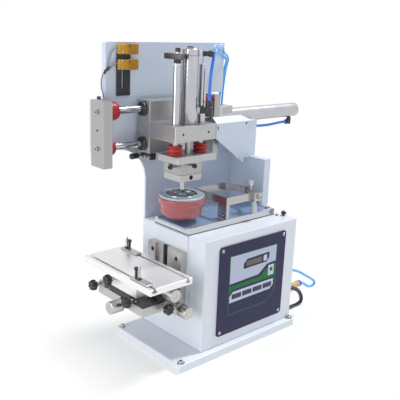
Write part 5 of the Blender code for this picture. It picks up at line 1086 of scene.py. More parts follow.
class Rails(Assembly):
    """Bolts, seals and bumpers round the head's two rails."""

    BOLT = Screw(3.8, 3.4, 0.14, 0.56)
    # flat near-black disc that paints the shade inside the end plate's hole
    HOLE_SHADE_DISC = Screw(2.1, 0.4, 0.1, 0.6)
    WASHER = (5.2, 0.9)  # its radius and height
    REAR_SHIFT = -11.44
    SEAL_RADIUS = 13.3
    SEAL_LENGTH = 4.0
    SEAL_LIP = 0.4
    BORE = 6.9
    CROWN_SHARE = 0.45

    def build(self) -> None:
        """Make every piece."""
        self.rods = [Box.of(f"rail_rod_{name}").middle for name in ("upper", "lower")]
        self.fasten_end_plates()
        self.seal_carriage()
        for node in ("bumper_front_upper", "bumper_front_lower", "bumper_rear_upper"):
            self.make_bumper(node)

    def on_rods(self, y: float, shift: float = 0.0) -> list:
        """Places on both rods' axes at a Y, shifted along X."""
        return [(rod.x + shift, y, rod.z) for rod in self.rods]

    def fasten_end_plates(self) -> None:
        """A washer and a cap bolt on each rail's end, a flat near-black disc between them that paints
        the shade inside a hole, and rear bolts.
        """
        face = Box.of("rail_plate_front").low.y
        self.washered("rail", self.BOLT, self.on_rods(face), Way.FRONT, self.WASHER, SMALL)
        middle = sum(rod.z for rod in self.rods) / 2
        # Painted shade: the hole between the rails is a flat near-black disc on the plate's face.
        self.bolts("end_plate_hole_shade", self.HOLE_SHADE_DISC, (self.rods[0].x, face, middle), Way.FRONT,
                   RECESS_SHADE)
        rear = Box.of("rail_plate_rear").high.y
        self.bolts("rear_plate_bolts", self.BOLT, self.on_rods(rear, self.REAR_SHIFT), Way.BACK)

    def seal_carriage(self) -> None:
        """A black rod seal round each rail on both faces of the carriage."""
        box = Box.of("carriage_housing")
        outer = self.SEAL_RADIUS + SKIN
        lip = self.SEAL_LIP
        profile = [(self.BORE, 0.0), (self.BORE * 1.12, -lip), (outer * 0.93, -lip), (outer, 0.3),
                   (outer, self.SEAL_LENGTH), (self.BORE, self.SEAL_LENGTH)]
        for name, y, way in (("front_seals", box.low.y, Way.BACK),
                             ("rear_seals", box.high.y, Way.FRONT)):
            self.turned(name, self.on_rods(y), way, profile, BLACK, LARGE, body="head", ring=True)

    def make_bumper(self, node: str) -> None:
        """A domed rubber bumper with a thin rim, in place of its plain solid."""
        box = Box.of(node)
        way = Way.BACK if box.middle.y < 0 else Way.FRONT
        radius = box.size.x / 2
        length = box.size.y
        rim = length * 0.10
        reach = (radius - self.BORE) * self.CROWN_SHARE
        crown = length * self.CROWN_SHARE
        profile = [(self.BORE, 0.0), (radius * 0.97, 0.0), (radius, rim * 0.4), (radius, rim),
                   (radius * 0.975, rim * 1.3),
                   *arc((radius * 0.975 - reach, length - crown), (reach, crown), 0, 90, 12),
                   (self.BORE + reach * 0.15, length), (self.BORE, length - reach * 0.15)]
        self.turned(f"{node}_moulding", box.seat(way), way, profile, RED, LARGE, node, ring=True)


class Shuttle(Assembly):
    """The air cylinder behind the rear end plate, its mount block and black elbow."""

    RADIUS = 15.0
    CAP = 14.0
    GROOVE = 0.7
    MOUNT_LENGTH = 38.0
    MOUNT_WIDTH = 36.0
    STRIP = (1.6, 7.5, 32.0)  # its thickness, depth and height
    ELBOW_FROM_END = 16.5
    STEM = ((4.3, 0.0), (5.0, 0.8), (5.0, 10.2), (5.5, 10.6), (5.5, 12.8), (4.3, 13.2),
            (4.3, 18.0))
    ARM_RISE = 5.0
    ARM = ((4.8, 0.0), (4.8, 6.6), (5.4, 7.0), (5.4, 9.5), (4.6, 10.5))

    def build(self) -> None:
        """Make the cylinder in place of its plain solid, its mount and the elbow."""
        box = Box.of("shuttle_cylinder")
        rod = Box.of("shuttle_piston_rod").middle
        length = box.size.y
        radius = self.RADIUS
        profile = [(radius * 0.94, 0.0), (radius, 0.9), *groove(radius, self.CAP, self.GROOVE),
                   *groove(radius, length - self.CAP, self.GROOVE), (radius, length - 2.2),
                   (radius * 0.97, length - 0.9), (radius * 0.90, length),
                   (radius * 0.62, length), (radius * 0.60, length - 1.6)]
        self.turned("shuttle_barrel", (rod.x, box.low.y, rod.z), Way.BACK, profile, ANODISED,
                    LARGE, "shuttle_cylinder")
        middle = Box.of("rail_rod_upper").middle.x
        right = middle + self.MOUNT_WIDTH / 2
        front, top = box.low.y, box.high.z
        self.boxed("shuttle_mount", (right - self.MOUNT_WIDTH, front, rod.z + radius * 0.17),
                   (right, front + self.MOUNT_LENGTH, top), BRUSHED_Y, 0.8)
        thickness, depth, height = self.STRIP
        self.boxed("shuttle_mount_strip", (right - SEAT, front, top - height),
                   (right + thickness, front + depth, top), SATIN)
        elbow = Vector((rod.x, box.high.y - self.ELBOW_FROM_END, box.low.z))
        self.turned("shuttle_elbow_stem", elbow, Way.UP, self.STEM, BLACK)
        self.turned("shuttle_elbow_arm", elbow + Vector((0, 0, self.ARM_RISE)), Way.FRONT,
                    self.ARM, BLACK)


class LiftCylinder(Assembly):
    """The upright air cylinder on the head, its fittings, and the valve below the carriage."""

    BODY = "head"
    RADIUS = 15.2
    CAP = 11.5
    GROOVE = 0.9
    TURN = math.radians(34)
    PICKUP = ((9.8, 0.0), (9.8, 2.6), (9.0, 3.4))
    PICKUP_OFFSET = Vector((2.2, 2.0, -1.2))
    PLUG_LOW = Vector((-13.8, -1.0, 0.4))
    PLUG_HIGH = Vector((-6.2, 7.2, 4.8))
    UPPER_DROP = 8.0
    UPPER_COLLAR = ((5.2, 12.0), (5.2, 19.2), (4.6, 20.0))
    UPPER_BODY = ((4.6, 19.6), (5.1, 20.0), (5.1, 22.2), (4.2, 22.6), (4.2, 25.0), (5.1, 25.4),
                  (5.1, 27.2), (4.2, 27.6), (4.2, 30.0), (5.2, 30.4), (5.2, 32.2))
    UPPER_BALL = arc((0.1, 35.8), (5.9, 5.9), -90, 75.6, 12)
    LOWER_RISE = 24.0
    LOWER_REACH = 36.0
    LOWER_NUT = ((6.67, 12.5, 1), (6.67, 18.5, 1))
    LOWER_BODY = ((5.22, 12.0), (5.22, 20.0), (5.8, 20.4), (5.8, 36.0))
    LOWER_COLLAR = ((5.6, -7.0), (6.79, -6.0), (7.0, -4.8), (7.0, 6.4), (6.3, 7.0), (6.3, 9.4),
                    (7.0, 10.0), (7.0, 14.8), (6.44, 15.6))
    LOWER_RING = ((5.88, 15.2), (5.88, 16.6), (5.46, 17.0))
    VALVE_WIDTH = 30.0
    VALVE_DEPTH = 12.0
    VALVE_HEIGHT = 12.0
    VALVE_INSET = 4.0
    NEEDLE_INSET = 3.9
    NEEDLE = ((4.2, -0.2), (4.2, 3.6), (3.0, 4.0), (2.2, 4.6), (2.2, 11.0))
    GRIP = ((3.0, 8.5), (4.6, 9.2), (5.0, 10.8), (5.0, 20.0), (5.3, 20.6), (5.3, 25.2),
            (4.2, 26.8), (1.8, 27.4))
    PORT_SHIFTS = (11.8, 21.2)
    PORT = ((4.0, -0.4), (4.0, 3.0), (3.4, 3.6), (3.4, 5.2), (2.4, 5.6), (2.3, 3.0))
    SET_SCREW = Screw(2.1, 1.0, 0.1, 0.55)
    SET_DEPTH = 3.5

    def build(self) -> None:
        """Make every piece."""
        box = Box.of("lift_cylinder")
        front = Box.of("lift_rod_front").middle
        rear = Box.of("lift_rod_rear").middle
        self.foot = Vector((front.x, (front.y + rear.y) / 2, box.low.z))
        self.height = box.size.z
        self.out = Vector((math.sin(self.TURN), math.cos(self.TURN), 0.0))
        self.make_barrel()
        self.make_fittings()
        self.make_valve()
        block = Box.of("head_block")
        # Set screws deep in the head block's holes, near-black: their own black together with the
        # holes' painted shade.
        places = [(block.high.x - self.SET_DEPTH, rod.y, block.middle.z) for rod in (front, rear)]
        self.bolts("block_clamp_screws", self.SET_SCREW, places, Way.RIGHT, RECESS_SHADE)

    def make_barrel(self) -> None:
        """The barrel with its grooved cap, and the amber pickup on top."""
        radius = self.RADIUS
        height = self.height
        cap = height - self.CAP
        cut = self.GROOVE
        profile = [(radius * 0.985, 0.0), (radius, 0.4), (radius, cap - cut),
                   (radius - cut, cap - cut / 3), (radius - cut, cap + cut / 3),
                   (radius, cap + cut), (radius, height - 0.9), (radius * 0.94, height),
                   (radius * 0.80, height), (radius * 0.78, height - 1.2)]
        self.turned("lift_barrel", self.foot, Way.UP, profile, ANODISED, GREAT, "lift_cylinder")
        top = self.foot + Vector((0, 0, height)) + self.PICKUP_OFFSET
        self.turned("lift_pickup", top, Way.UP, self.PICKUP, AMBER, LARGE)
        self.boxed("lift_pickup_plug", top + self.PLUG_LOW, top + self.PLUG_HIGH, BLACK)

    def make_fittings(self) -> None:
        """The upper fitting with its round end, and the lower elbow that holds the blue line."""
        upper = self.foot + Vector((0, 0, self.height - self.UPPER_DROP))
        self.turned("upper_collar", upper, self.out, self.UPPER_COLLAR, WHITE_RING)
        self.turned("upper_fitting", upper, self.out, self.UPPER_BODY, BLACK)
        self.turned("upper_fitting_end", upper, self.out, self.UPPER_BALL, BLACK)
        lower = self.foot + Vector((0, 0, self.LOWER_RISE))
        self.turned("lower_elbow_nut", lower, self.out, self.LOWER_NUT, STAINLESS, MIDDLE)
        self.turned("lower_elbow_body", lower, self.out, self.LOWER_BODY, BLACK)
        end = lower + self.out * self.LOWER_REACH
        self.turned("lower_elbow_collar", end, Way.UP, self.LOWER_COLLAR, BLACK)
        self.turned("lower_elbow_ring", end, Way.UP, self.LOWER_RING, BLACK_STEEL)

    def make_valve(self) -> None:
        """Black pilot valve under the carriage's front, with a needle screw and its grip."""
        carriage = Box.of("carriage_housing")
        front = carriage.low.y + Rails.SEAL_LENGTH + self.VALVE_INSET
        right = carriage.high.x
        left = right - self.VALVE_WIDTH
        foot = carriage.low.z
        self.boxed("valve_cover", (left - SKIN, front - SKIN, foot - SKIN),
                   (right - SKIN, front + self.VALVE_DEPTH + SKIN,
                    foot + self.VALVE_HEIGHT - SKIN), BLACK)
        needle = Vector((left + self.NEEDLE_INSET, front, foot + self.VALVE_HEIGHT * 0.42))
        self.turned("valve_needle", needle, Way.FRONT, self.NEEDLE, STAINLESS)
        self.turned("valve_grip", needle, Way.FRONT, self.GRIP, BLACK, 72, wave=knurl(0.035, 18))
        places = [needle + Vector((shift, SEAT, 0.0)) for shift in self.PORT_SHIFTS]
        self.turned("valve_ports", places, Way.FRONT, self.PORT, STAINLESS)


class TripBar(Assembly):
    """The bar on the front guide's top that works the stroke sensors, with its nut and knob."""

    BODY = "pad_slide"
    BAR_HALF = 4.5
    BAR_HEIGHT = 10.0
    NUT_HEIGHT = 6.0
    NUT = ((6.11, 0.0, 0.5), (6.5, 0.6, 0.6), (6.5, 5.6, 0.6), (6.175, 6.0, 0.6))
    SPACER = ((3.2, -SEAT), (3.2, 3.0))
    KNOB_RISE = 2.8
    KNOB = ((4.05, 0.0), (4.5, 0.6), (4.5, 5.95), (3.87, 7.0))
    RING_DROP = 3.5
    RING = band(5.8, 7.0, 0.0, 2.6)
    STUB_DROP = 16.5
    STUB = ((5.0, 0.0), (5.4, 0.6), (5.4, 1.6), (4.6, 2.2))

    def build(self) -> None:
        """Make the bar in place of its plain solid, and what sits on both guides."""
        box = Box.of("trip_bar")
        guide = Box.of("lift_rod_front")
        rear = Box.of("lift_rod_rear")
        x, y, _ = guide.middle
        low = box.low.z + self.NUT_HEIGHT
        top = low + self.BAR_HEIGHT
        self.boxed("trip_bar_flat", (box.low.x, y - self.BAR_HALF, low),
                   (box.high.x, y + self.BAR_HALF, top), GUNMETAL, 0.6, "trip_bar")
        self.turned("trip_nut", (x, y, box.low.z), Way.UP, self.NUT, BLACK, MIDDLE)
        self.turned("trip_spacer", (x, y, top), Way.UP, self.SPACER, STEEL)
        self.turned("trip_knob", (x, y, top + self.KNOB_RISE), Way.UP, self.KNOB, BLACK, MIDDLE,
                    wave=knurl(0.03, 16))
        self.turned("guide_ring", (x, y, guide.high.z - self.RING_DROP), Way.UP, self.RING,
                    WHITE_RING, LARGE, ring=True)
        x, y, _ = rear.middle
        self.turned("rear_stub_nut", (x, y, rear.high.z - self.STUB_DROP), Way.UP, self.STUB,
                    STAINLESS)


class PadGroup(Assembly):
    """Silicone pad, its metal mount, the buffers and the screws of the blocks above it."""

    BODY = "pad_slide"
    FLANGE_RADIUS = 44.1
    FLANGE_HEIGHT = 10.5
    FLANGE_LIP = 1.2
    BODY_RADIUS = 39.6
    HEIGHT = 43.6
    SHOULDER_SHARE = 0.62
    KEEP = 0.80
    DISC = ((41.8, 0.0), (42.6, 0.8), (42.6, 3.4), (41.7, 4.3), (28.3, 4.3), (28.3, 1.3))
    RIM = ((28.1, 3.3), (28.1, 5.5), (28.7, 6.1), (29.5, 5.5), (29.7, 3.3))
    PLATE = ((27.9, 1.7), (27.9, 3.5), (26.9, 3.9), (9.0, 3.9), (8.4, 4.9), (6.0, 5.1))
    PLATE_RISE = 3.9
    HOLE_CIRCLES = ((20.5, 6, 1.6), (11.8, 4, 2.2))  # circle radius, count, hole radius
    STEM = ((5.704, 2.9), (5.704, 6.3), (4.6, 6.9))
    STEM_RADIUS = 4.6
    BUFFER_BORE = 5.0
    BUFFER_WAIST = 2.0
    WASHER = band(4.8, 7.6, 0.0, 0.7)
    SCREW = Screw(4.3, 4.6, 0.12, 0.55)
    SCREW_DROP = 9.8
    SHANK_RADIUS = 2.4
    SHANK_REACH = 11.2
    DOWEL = ((2.1, -SEAT), (2.1, 6.2), (1.6, 6.8))
    # height of the near-black band of painted shade at the holder's seam
    SEAM_SHADE = 0.7
    BUSH = ((2.9, -1.0), (4.3, -1.0), (4.3, 0.3), (3.8, 0.6), (2.9, 0.6))
    SOCKET_SCREW = Screw(2.9, 1.4, 0.1, 0.6)
    SOCKET_DEPTH = 3.0

    def build(self) -> None:
        """Make every piece."""
        self.make_pad()
        self.make_mount()
        for node, finish in (("buffer_front", BRIGHT_RED), ("buffer_rear", RED)):
            self.make_buffer(node, finish)
        self.make_block_screws()
        self.fit_holder()

    def make_pad(self) -> None:
        """The moulded pad: flange, drum and rounded crown, on a mesh of its own; it stays rigid when
        it presses.
        """
        mount = Box.of("pad_mount").middle
        place = Vector((mount.x, mount.y, Box.of("silicone_pad").high.z))
        flange = self.FLANGE_RADIUS
        body = self.BODY_RADIUS
        drop = self.FLANGE_HEIGHT
        lip = self.FLANGE_LIP
        shoulder = -self.HEIGHT * self.SHOULDER_SHARE
        crown = arc((0.0, shoulder), (body, -self.HEIGHT - shoulder), 0, 90, 24)[:-1]
        profile = [*arc((flange - lip, -lip), (lip, lip), 90, 0, 5),
                   *arc((flange - lip, lip - drop), (lip, lip), 0, -67.5, 4),
                   (body + lip * 1.2, -drop - lip * 0.2), (body + lip * 0.3, -drop - lip),
                   (body, -drop - lip * 2.4), *crown, (0.8, -self.HEIGHT)]
        pad = self.turned("pad_moulding", place, Way.UP, profile, SILICONE, GREAT, "silicone_pad",
                          sharp=50.0)
        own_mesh(pad)

    def make_mount(self) -> None:
        """Coated disc with a bright rim, a bored centre plate and the stem."""
        box = Box.of("pad_mount")
        foot = box.seat(Way.UP)
        self.turned("mount_disc", foot, Way.UP, self.DISC, MOUNT_COAT, GREAT, "pad_mount")
        self.turned("mount_rim", foot, Way.UP, self.RIM, STEEL, GREAT, ring=True)
        self.turned("mount_plate", foot, Way.UP, self.PLATE, DARK_STEEL, GREAT)
        # Painted shade: the plate's holes are flat near-black discs on its face.
        for circle, (reach, count, size) in enumerate(self.HOLE_CIRCLES):
            places = [foot + Vector((reach * math.cos(turn), reach * math.sin(turn),
                                     self.PLATE_RISE))
                      for turn in (np.arange(count) + 0.5) / count * TAU]
            self.bolts(f"mount_holes_{circle + 1}", Screw(size, 0.3, 0.1, 0.6), places, Way.UP,
                       RECESS_SHADE)
        self.turned("mount_stem", foot, Way.UP, [*self.STEM, (self.STEM_RADIUS, box.size.z)],
                    STEEL, MIDDLE)

    def make_buffer(self, node: str, finish: Finish) -> None:
        """A ribbed rubber buffer round a guide, with a steel washer on top."""
        box = Box.of(node)
        radius = box.size.x / 2
        height = box.size.z
        level = np.linspace(0, 1, 33)
        outer = radius - self.BUFFER_WAIST * (1 - np.abs(np.cos(level * TAU)) ** 0.7)
        outer[[0, -1]] = radius - 0.9
        rows = np.column_stack([outer, level * height]).tolist()
        profile = [(self.BUFFER_BORE, 0.0), *rows, (self.BUFFER_BORE, height)]
        self.turned(f"{node}_moulding", box.seat(Way.UP), Way.UP, profile, finish, LARGE, node,
                    ring=True)
        cap = (box.middle.x, box.middle.y, box.high.z - 2 * SEAT)
        self.turned(f"{node}_washer", cap, Way.UP, self.WASHER, STAINLESS, LARGE, ring=True)

    def make_block_screws(self) -> None:
        """Long clamping screws in the slide block, and a dowel."""
        block = Box.of("slide_block")
        x, y, _ = block.middle
        level = block.high.z - self.SCREW_DROP
        shank = [(self.SHANK_RADIUS, -SEAT), (self.SHANK_RADIUS, self.SHANK_REACH + SEAT)]
        seats = (((x + 9.7, block.low.y, level), Way.FRONT),
                 ((block.high.x, y - 4.3, level + 3.6), Way.RIGHT))
        for index, (seat, way) in enumerate(seats):
            self.turned(f"slide_screw_shank_{index + 1}", seat, way, shank, STAINLESS)
            head = Vector(seat) + Vector(way.value) * self.SHANK_REACH
            self.bolts(f"slide_screw_{index + 1}", self.SCREW, head, way, BLACK)
        self.turned("slide_dowel", (x - 1.4, block.low.y, level + 0.4), Way.FRONT, self.DOWEL,
                    STEEL)

    def fit_holder(self) -> None:
        """A near-black band of painted shade round the seam between the pad holder and the slide
        block, and the bush and socket screw in its side.
        """
        holder = Box.of("pad_holder")
        seam = (holder.high.z + Box.of("slide_block").low.z) / 2
        # Painted shade: the seam is real, and its dark gap is a thin near-black band round the holder.
        self.boxed("holder_seam_shade",
                   (holder.low.x - SKIN, holder.low.y - SKIN, seam - self.SEAM_SHADE / 2),
                   (holder.high.x + SKIN, holder.high.y + SKIN, seam + self.SEAM_SHADE / 2),
                   RECESS_SHADE, 0.1)
        _, y, z = holder.middle
        face = holder.high.x
        self.turned("holder_bush", (face, y, z), Way.RIGHT, self.BUSH, BLACK, MIDDLE, ring=True)
        # A socket screw deep in the bush, near-black: its own black together with the bush's painted
        # shade.
        self.bolts("holder_socket_screw", self.SOCKET_SCREW, (face - self.SOCKET_DEPTH, y, z),
                   Way.RIGHT, RECESS_SHADE)


class StrokeSensors(Assembly):
    """Two amber sensors with yellow mounts on the slotted bracket, their screws and cables."""

    EAR_LENGTH = 17.5
    EAR_THICKNESS = 6.0
    RIB_THICKNESS = 1.4
    RIB_DEPTH = 3.4
    SCREW = Screw(2.2, 1.4, 0.3, 0.5)
    DOT = ((1.5, -SEAT), (1.5, 0.3))
    CABLE = 1.3
    ROUTES = (
        ((-86.6, -162.5, 556.5), (-87.2, -166.0, 556.8), (-88.2, -172.0, 554.5),
         (-89.2, -177.0, 546.0), (-90.2, -180.0, 533.0), (-91.5, -181.5, 521.5)),
        ((-86.6, -162.5, 530.5), (-87.2, -166.0, 530.6), (-88.2, -171.2, 528.6),
         (-89.2, -176.0, 524.5), (-90.2, -179.0, 520.0), (-91.5, -182.2, 517.4),
         (-93.5, -186.2, 516.0), (-96.2, -188.4, 512.0)),
        ((-96.2, -188.4, 512.0), (-98.0, -189.3, 507.0), (-99.0, -190.5, 498.0),
         (-98.5, -189.8, 486.0), (-96.0, -188.0, 476.0), (-95.0, -188.0, 469.8)),
    )
    SLEEVE = ((1.8, -4.0), (2.1, -3.4), (2.1, 3.4), (1.8, 4.0))
    SLEEVE_WAY = (-0.10, -0.45, -0.90)
    FOOT_BOLT = Screw(3.6, 4.2, 0.12, 0.55)
    FOOT_BOLT_PLACE = (-95.2, -198.0)

    def build(self) -> None:
        """Make both sensors and their cables."""
        for node in ("stroke_sensor_upper", "stroke_sensor_lower"):
            self.make_sensor(node)
        for index, route in enumerate(self.ROUTES):
            self.line(f"sensor_cable_{index + 1}", route, self.CABLE, GREY_CABLE, sides=12)
        joints = [self.ROUTES[0][-1], self.ROUTES[1][-2]]
        self.turned("cable_sleeves", joints, self.SLEEVE_WAY, self.SLEEVE, BLACK)
        self.bolts("panel_foot_bolt", self.FOOT_BOLT,
                   (*self.FOOT_BOLT_PLACE, Box.of("side_wall").high.z), Way.UP, BLACK)

    def make_sensor(self, node: str) -> None:
        """A sensor body with its thinner mounting ear, in place of the plain solid."""
        box = Box.of(node)
        split = box.low.y + self.EAR_LENGTH
        foot, top = box.low.z + 0.4, box.high.z - 0.4
        ear_face = box.low.x + self.EAR_THICKNESS
        self.boxed(f"{node}_body", (box.low.x, split, box.low.z), box.high, AMBER, 0.7, node)
        self.boxed(f"{node}_ear", (box.low.x, box.low.y, foot), (ear_face, split + SEAT, top),
                   YELLOW, 0.6)
        self.boxed(f"{node}_ear_rib", (ear_face - SEAT, split - self.RIB_DEPTH, foot),
                   (ear_face + self.RIB_THICKNESS, split + SEAT, top), YELLOW)
        places = [(ear_face, box.low.y + self.EAR_LENGTH * 0.42, box.low.z + share * box.size.z)
                  for share in (0.22, 0.80)]
        self.bolts(f"{node}_screws", self.SCREW, places, Way.RIGHT)
        self.turned(f"{node}_lamp", (box.high.x, split + 3.2, box.high.z - 4.0), Way.RIGHT,
                    self.DOT, BLACK)


class RearHousing(Assembly):
    """The rear cover's top, and the small fittings of the cover, side wall and cabinet rear."""

    SHEET = 1.4
    GAP = 0.2
    LIP_RISE = 11.2
    LIP_FROM_REAR = 14.5
    LIP_SLANT = 24.0
    PLATE_SIDE = 12.0
    PLATE_RIGHT = 25.0
    PLATE_THICKNESS = 1.2
    PLATE_SCREW = Screw(2.8, 1.6, 0.7, 0.45)
    WALL_SCREW = Screw(4.2, 1.8, 0.5, 0.5)
    SLOT_RADIUS = 1.2
    SLOT_LENGTH = 8.0
    SLOT_INSET = 4.5
    SLOT_DROP = 5.0
    SCREW = Screw(1.7, 1.1, 0.4, 0.45)
    SCREW_INSET = 32.5
    SCREW_DROP = 4.5

    def build(self) -> None:
        """Make every fitting."""
        self.cover = Box.of("rear_cover")
        self.mark_cover()
        self.close_cover()
        self.raise_lip()
        self.fasten_wall()
        self.add_rear_plate()

    def mark_cover(self) -> None:
        """The cover's slot, a thin near-black shape of painted shade, and its screw."""
        corner = self.cover.high
        y = self.cover.low.y + self.SLOT_INSET
        high = corner.z - self.SLOT_DROP
        low = high - self.SLOT_LENGTH
        radius = self.SLOT_RADIUS
        outline = [*arc((y, high - radius), (radius, radius), 0, 180, 13),
                   *arc((y, low + radius), (-radius, -radius), 0, 180, 13)]
        # Painted shade: the slot's dark inside is a thin near-black shape standing proud of the cover.
        self.prism("cover_slot", outline, "x", corner.x - SEAT, corner.x + SKIN * 1.5, RECESS_SHADE)
        place = (corner.x, corner.y - self.SCREW_INSET, corner.z - self.SCREW_DROP)
        self.bolts("cover_screw", self.SCREW, place, Way.RIGHT, BLACK)

    def close_cover(self) -> None:
        """The cover's folded top, which goes round the front of the rear end plate."""
        gap = self.GAP
        plate = Box.of("rail_plate_rear")
        left = Box.of("side_wall").high.x + gap
        step = plate.high.x + gap
        right = self.cover.high.x - gap
        front = self.cover.low.y + gap
        rear = self.cover.high.y - gap
        bend = plate.low.y - gap
        outline = [(left, front), (right, front), (right, rear), (step, rear), (step, bend),
                   (left, bend)]
        top = self.cover.high.z
        # The top sheet takes the paler copy of the powder coat, with painted light.
        self.prism("cover_top", outline, "z", top - self.SHEET, top - SKIN, PAINT_LIT, 0.3)

    def raise_lip(self) -> None:
        """A sheet from the cover's upper edge up to the cylinder, cut on a slant at its rear."""
        outer = self.cover.high.x - self.GAP
        inner = Box.of("rail_plate_rear").high.x + self.GAP
        front = self.cover.low.y + self.GAP
        rear = self.cover.high.y - self.LIP_FROM_REAR
        foot = self.cover.high.z - SKIN
        crest = foot + self.LIP_RISE
        upper = [(outer, front, foot), (outer, rear, foot), (inner, rear - self.LIP_SLANT, crest),
                 (inner, front, crest)]
        lower = [(x, y, z - self.SHEET) for x, y, z in upper]
        faces = [[0, 1, 2, 3], [4, 5, 6, 7], *self.grid_faces(2, 4)]
        # The lip takes the paler copy of the powder coat, with painted light.
        self.add("cover_lip", upper + lower, faces, PAINT_LIT)

    def fasten_wall(self) -> None:
        """Screws through the side wall into the two rail end plates."""
        wall = Box.of("side_wall").low.x
        places = [(wall, Box.of(plate).middle.y, Box.of(rod).middle.z)
                  for plate in ("rail_plate_front", "rail_plate_rear")
                  for rod in ("rail_rod_upper", "rail_rod_lower")]
        self.bolts("wall_screws", self.WALL_SCREW, places, Way.LEFT)

    def add_rear_plate(self) -> None:
        """Access plate on the cabinet's rear, beside the air inlet."""
        cabinet = Box.of("cabinet_shell")
        side = self.PLATE_SIDE
        left, low = cabinet.low.x + side, cabinet.low.z + side
        right, high = self.PLATE_RIGHT, cabinet.high.z - side
        face = cabinet.high.y + self.PLATE_THICKNESS
        self.boxed("rear_access_plate", (left, cabinet.high.y - SEAT, low), (right, face, high),
                   PAINT, 0.5)
        places = [(x, face, z) for x in (left + side / 2, right - side / 2)
                  for z in (low + side / 2, (low + high) / 2, high - side / 2)]
        self.bolts("access_plate_screws", self.PLATE_SCREW, places, Way.BACK)


class InkDeck(Assembly):
    """Screws and small fittings round the ink tray and the cup holder."""

    LEG_SCREW = Screw(2.1, 1.6, 0.5, 0.45)
    LEG_SCREWS = ((20.5, 6.8), (28.8, 6.0))  # X, and height over the tray
    LEG_DEPTH = 0.8
    CLAMP_Y = 80.0
    CLAMP_DROP = 8.8
    CLAMP_SCREW = Screw(4.6, 4.0, 0.2, 0.5)
    BOSS = ((5.2, -1.0), (5.2, 0.8), (4.6, 1.4))
    BOSS_HEIGHT = 1.2
    POST = (36.0, 78.2)
    POST_RADIUS = 5.8
    POST_DROP = 17.0
    POST_SCREW = ((1.7, -3.0), (1.7, 0.8), (2.7, 1.0), (2.7, 3.4), (2.1, 4.0))
    POST_SCREW_PLACE = (40.4, 81.0)
    POST_SCREW_DROP = 19.0
    POST_SCREW_WAY = (0.8, -0.4, -0.45)
    THUMB_HEAD = 8.2
    GASKET = 0.7
    RAIL_SCREW = Screw(1.9, 0.6, 0.3, 0.5)
    RAIL_INSET = 3.4
    PIN_OFFSET = Vector((-12.5, -3.5, 0.0))
    PIN = ((1.4, -1.0), (1.4, 6.0))
    PIN_TIP = ((1.6, 0.0), (1.6, 3.0), (0.8, 3.8))
    PIN_BLOCK = ((2.6, -0.2), (2.6, 2.2), (2.0, 2.7))
    KNOB = ((3.0, -SEAT), (3.0, 3.0), (5.0, 3.4), (5.6, 5.2), (5.0, 7.6), (3.0, 9.6), (1.0, 10.2))
    KNOB_PLACE = (56.0, -7.5)  # X, and Y from the cabinet's rear
    DECK_SCREW = Screw(2.6, 2.4, 0.4, 0.5)
    DECK_SCREW_PLACE = (47.8, -19.0)

    def build(self) -> None:
        """Make every fitting."""
        self.tray = Box.of("ink_tray")
        self.fasten_holder()
        self.make_thumb_screw()
        self.fit_tray()
        self.fit_deck()

    def fasten_holder(self) -> None:
        """Leg screws, the clamp screw with its boss, and the post's sleeve with its screw."""
        holder = Box.of("cup_holder")
        top = holder.high.z
        tray = self.tray.high.z
        places = [(x, holder.low.y + self.LEG_DEPTH, tray + rise) for x, rise in self.LEG_SCREWS]
        self.bolts("leg_screws", self.LEG_SCREW, places, Way.FRONT)
        clamp = Vector((holder.high.x, self.CLAMP_Y, top - self.CLAMP_DROP))
        self.turned("clamp_boss", clamp, Way.RIGHT, self.BOSS, STAINLESS, MIDDLE)
        self.bolts("clamp_screw", self.CLAMP_SCREW, clamp + Vector((self.BOSS_HEIGHT, 0, 0)),
                   Way.RIGHT)
        radius = self.POST_RADIUS + SKIN
        height = top - tray - self.POST_DROP
        self.turned("post_sleeve", (*self.POST, tray), Way.UP,
                    [(radius - 0.4, 0.0), (radius, 0.5), (radius, height - 0.5),
                     (radius - 0.4, height)], PALE_POST, MIDDLE)
        self.turned("post_screw", (*self.POST_SCREW_PLACE, top - self.POST_SCREW_DROP),
                    self.POST_SCREW_WAY, self.POST_SCREW, BLACK)

    def make_thumb_screw(self) -> None:
        """Knurled thumb screw, in place of its plain solid."""
        box = Box.of("cup_thumb_screw")
        seat = box.seat(Way.UP)
        height = box.size.z
        head = height - self.THUMB_HEAD
        radius = box.size.x / 2
        self.turned("thumb_screw_head", seat, Way.UP,
                    [(radius * 0.90, head), (radius, head + 0.7), (radius, height - 0.8),
                     (radius * 0.88, height), (radius * 0.62, height),
                     (radius * 0.58, height - 0.5)], KNOB, 144, "cup_thumb_screw", "thumb_screw",
                    wave=knurl(0.022, 36))
        self.turned("thumb_screw_neck", seat, Way.UP,
                    [(3.0, 0.0), (3.0, head * 0.55), (3.6, head * 0.60), (3.6, head + SEAT)],
                    STAINLESS, body="thumb_screw")

    def fit_tray(self) -> None:
        """The tray's gasket, countersunk screws in its rails, and a locating pin at its rear."""
        low, high = self.tray.low, self.tray.high
        rim = self.GASKET
        sides = ((low.x - rim, low.y - rim, high.x + rim, low.y + rim),
                 (low.x - rim, high.y - rim, high.x + rim, high.y + rim),
                 (low.x - rim, low.y, low.x + rim, high.y),
                 (high.x - rim, low.y, high.x + rim, high.y))
        for index, (left, front, right, back) in enumerate(sides):
            self.boxed(f"tray_gasket_{index + 1}", (left, front, low.z - 0.3),
                       (right, back, low.z + 1.2), BLACK, 0.3)
        places = [(x, y, high.z) for x in (low.x + self.RAIL_INSET, high.x - self.RAIL_INSET)
                  for y in (low.y + 6.0, high.y - 5.0)]
        self.bolts("tray_screws", self.RAIL_SCREW, places, Way.UP)
        pin = high + self.PIN_OFFSET
        self.turned("locating_pin", pin, Way.FRONT, self.PIN, BRASS)
        self.turned("locating_pin_tip", pin + Vector((0, -5.8, 0)), Way.FRONT, self.PIN_TIP, BLACK)
        self.turned("pin_block", pin + Vector((0, 0.8, -0.6)), Way.UP, self.PIN_BLOCK, STAINLESS)

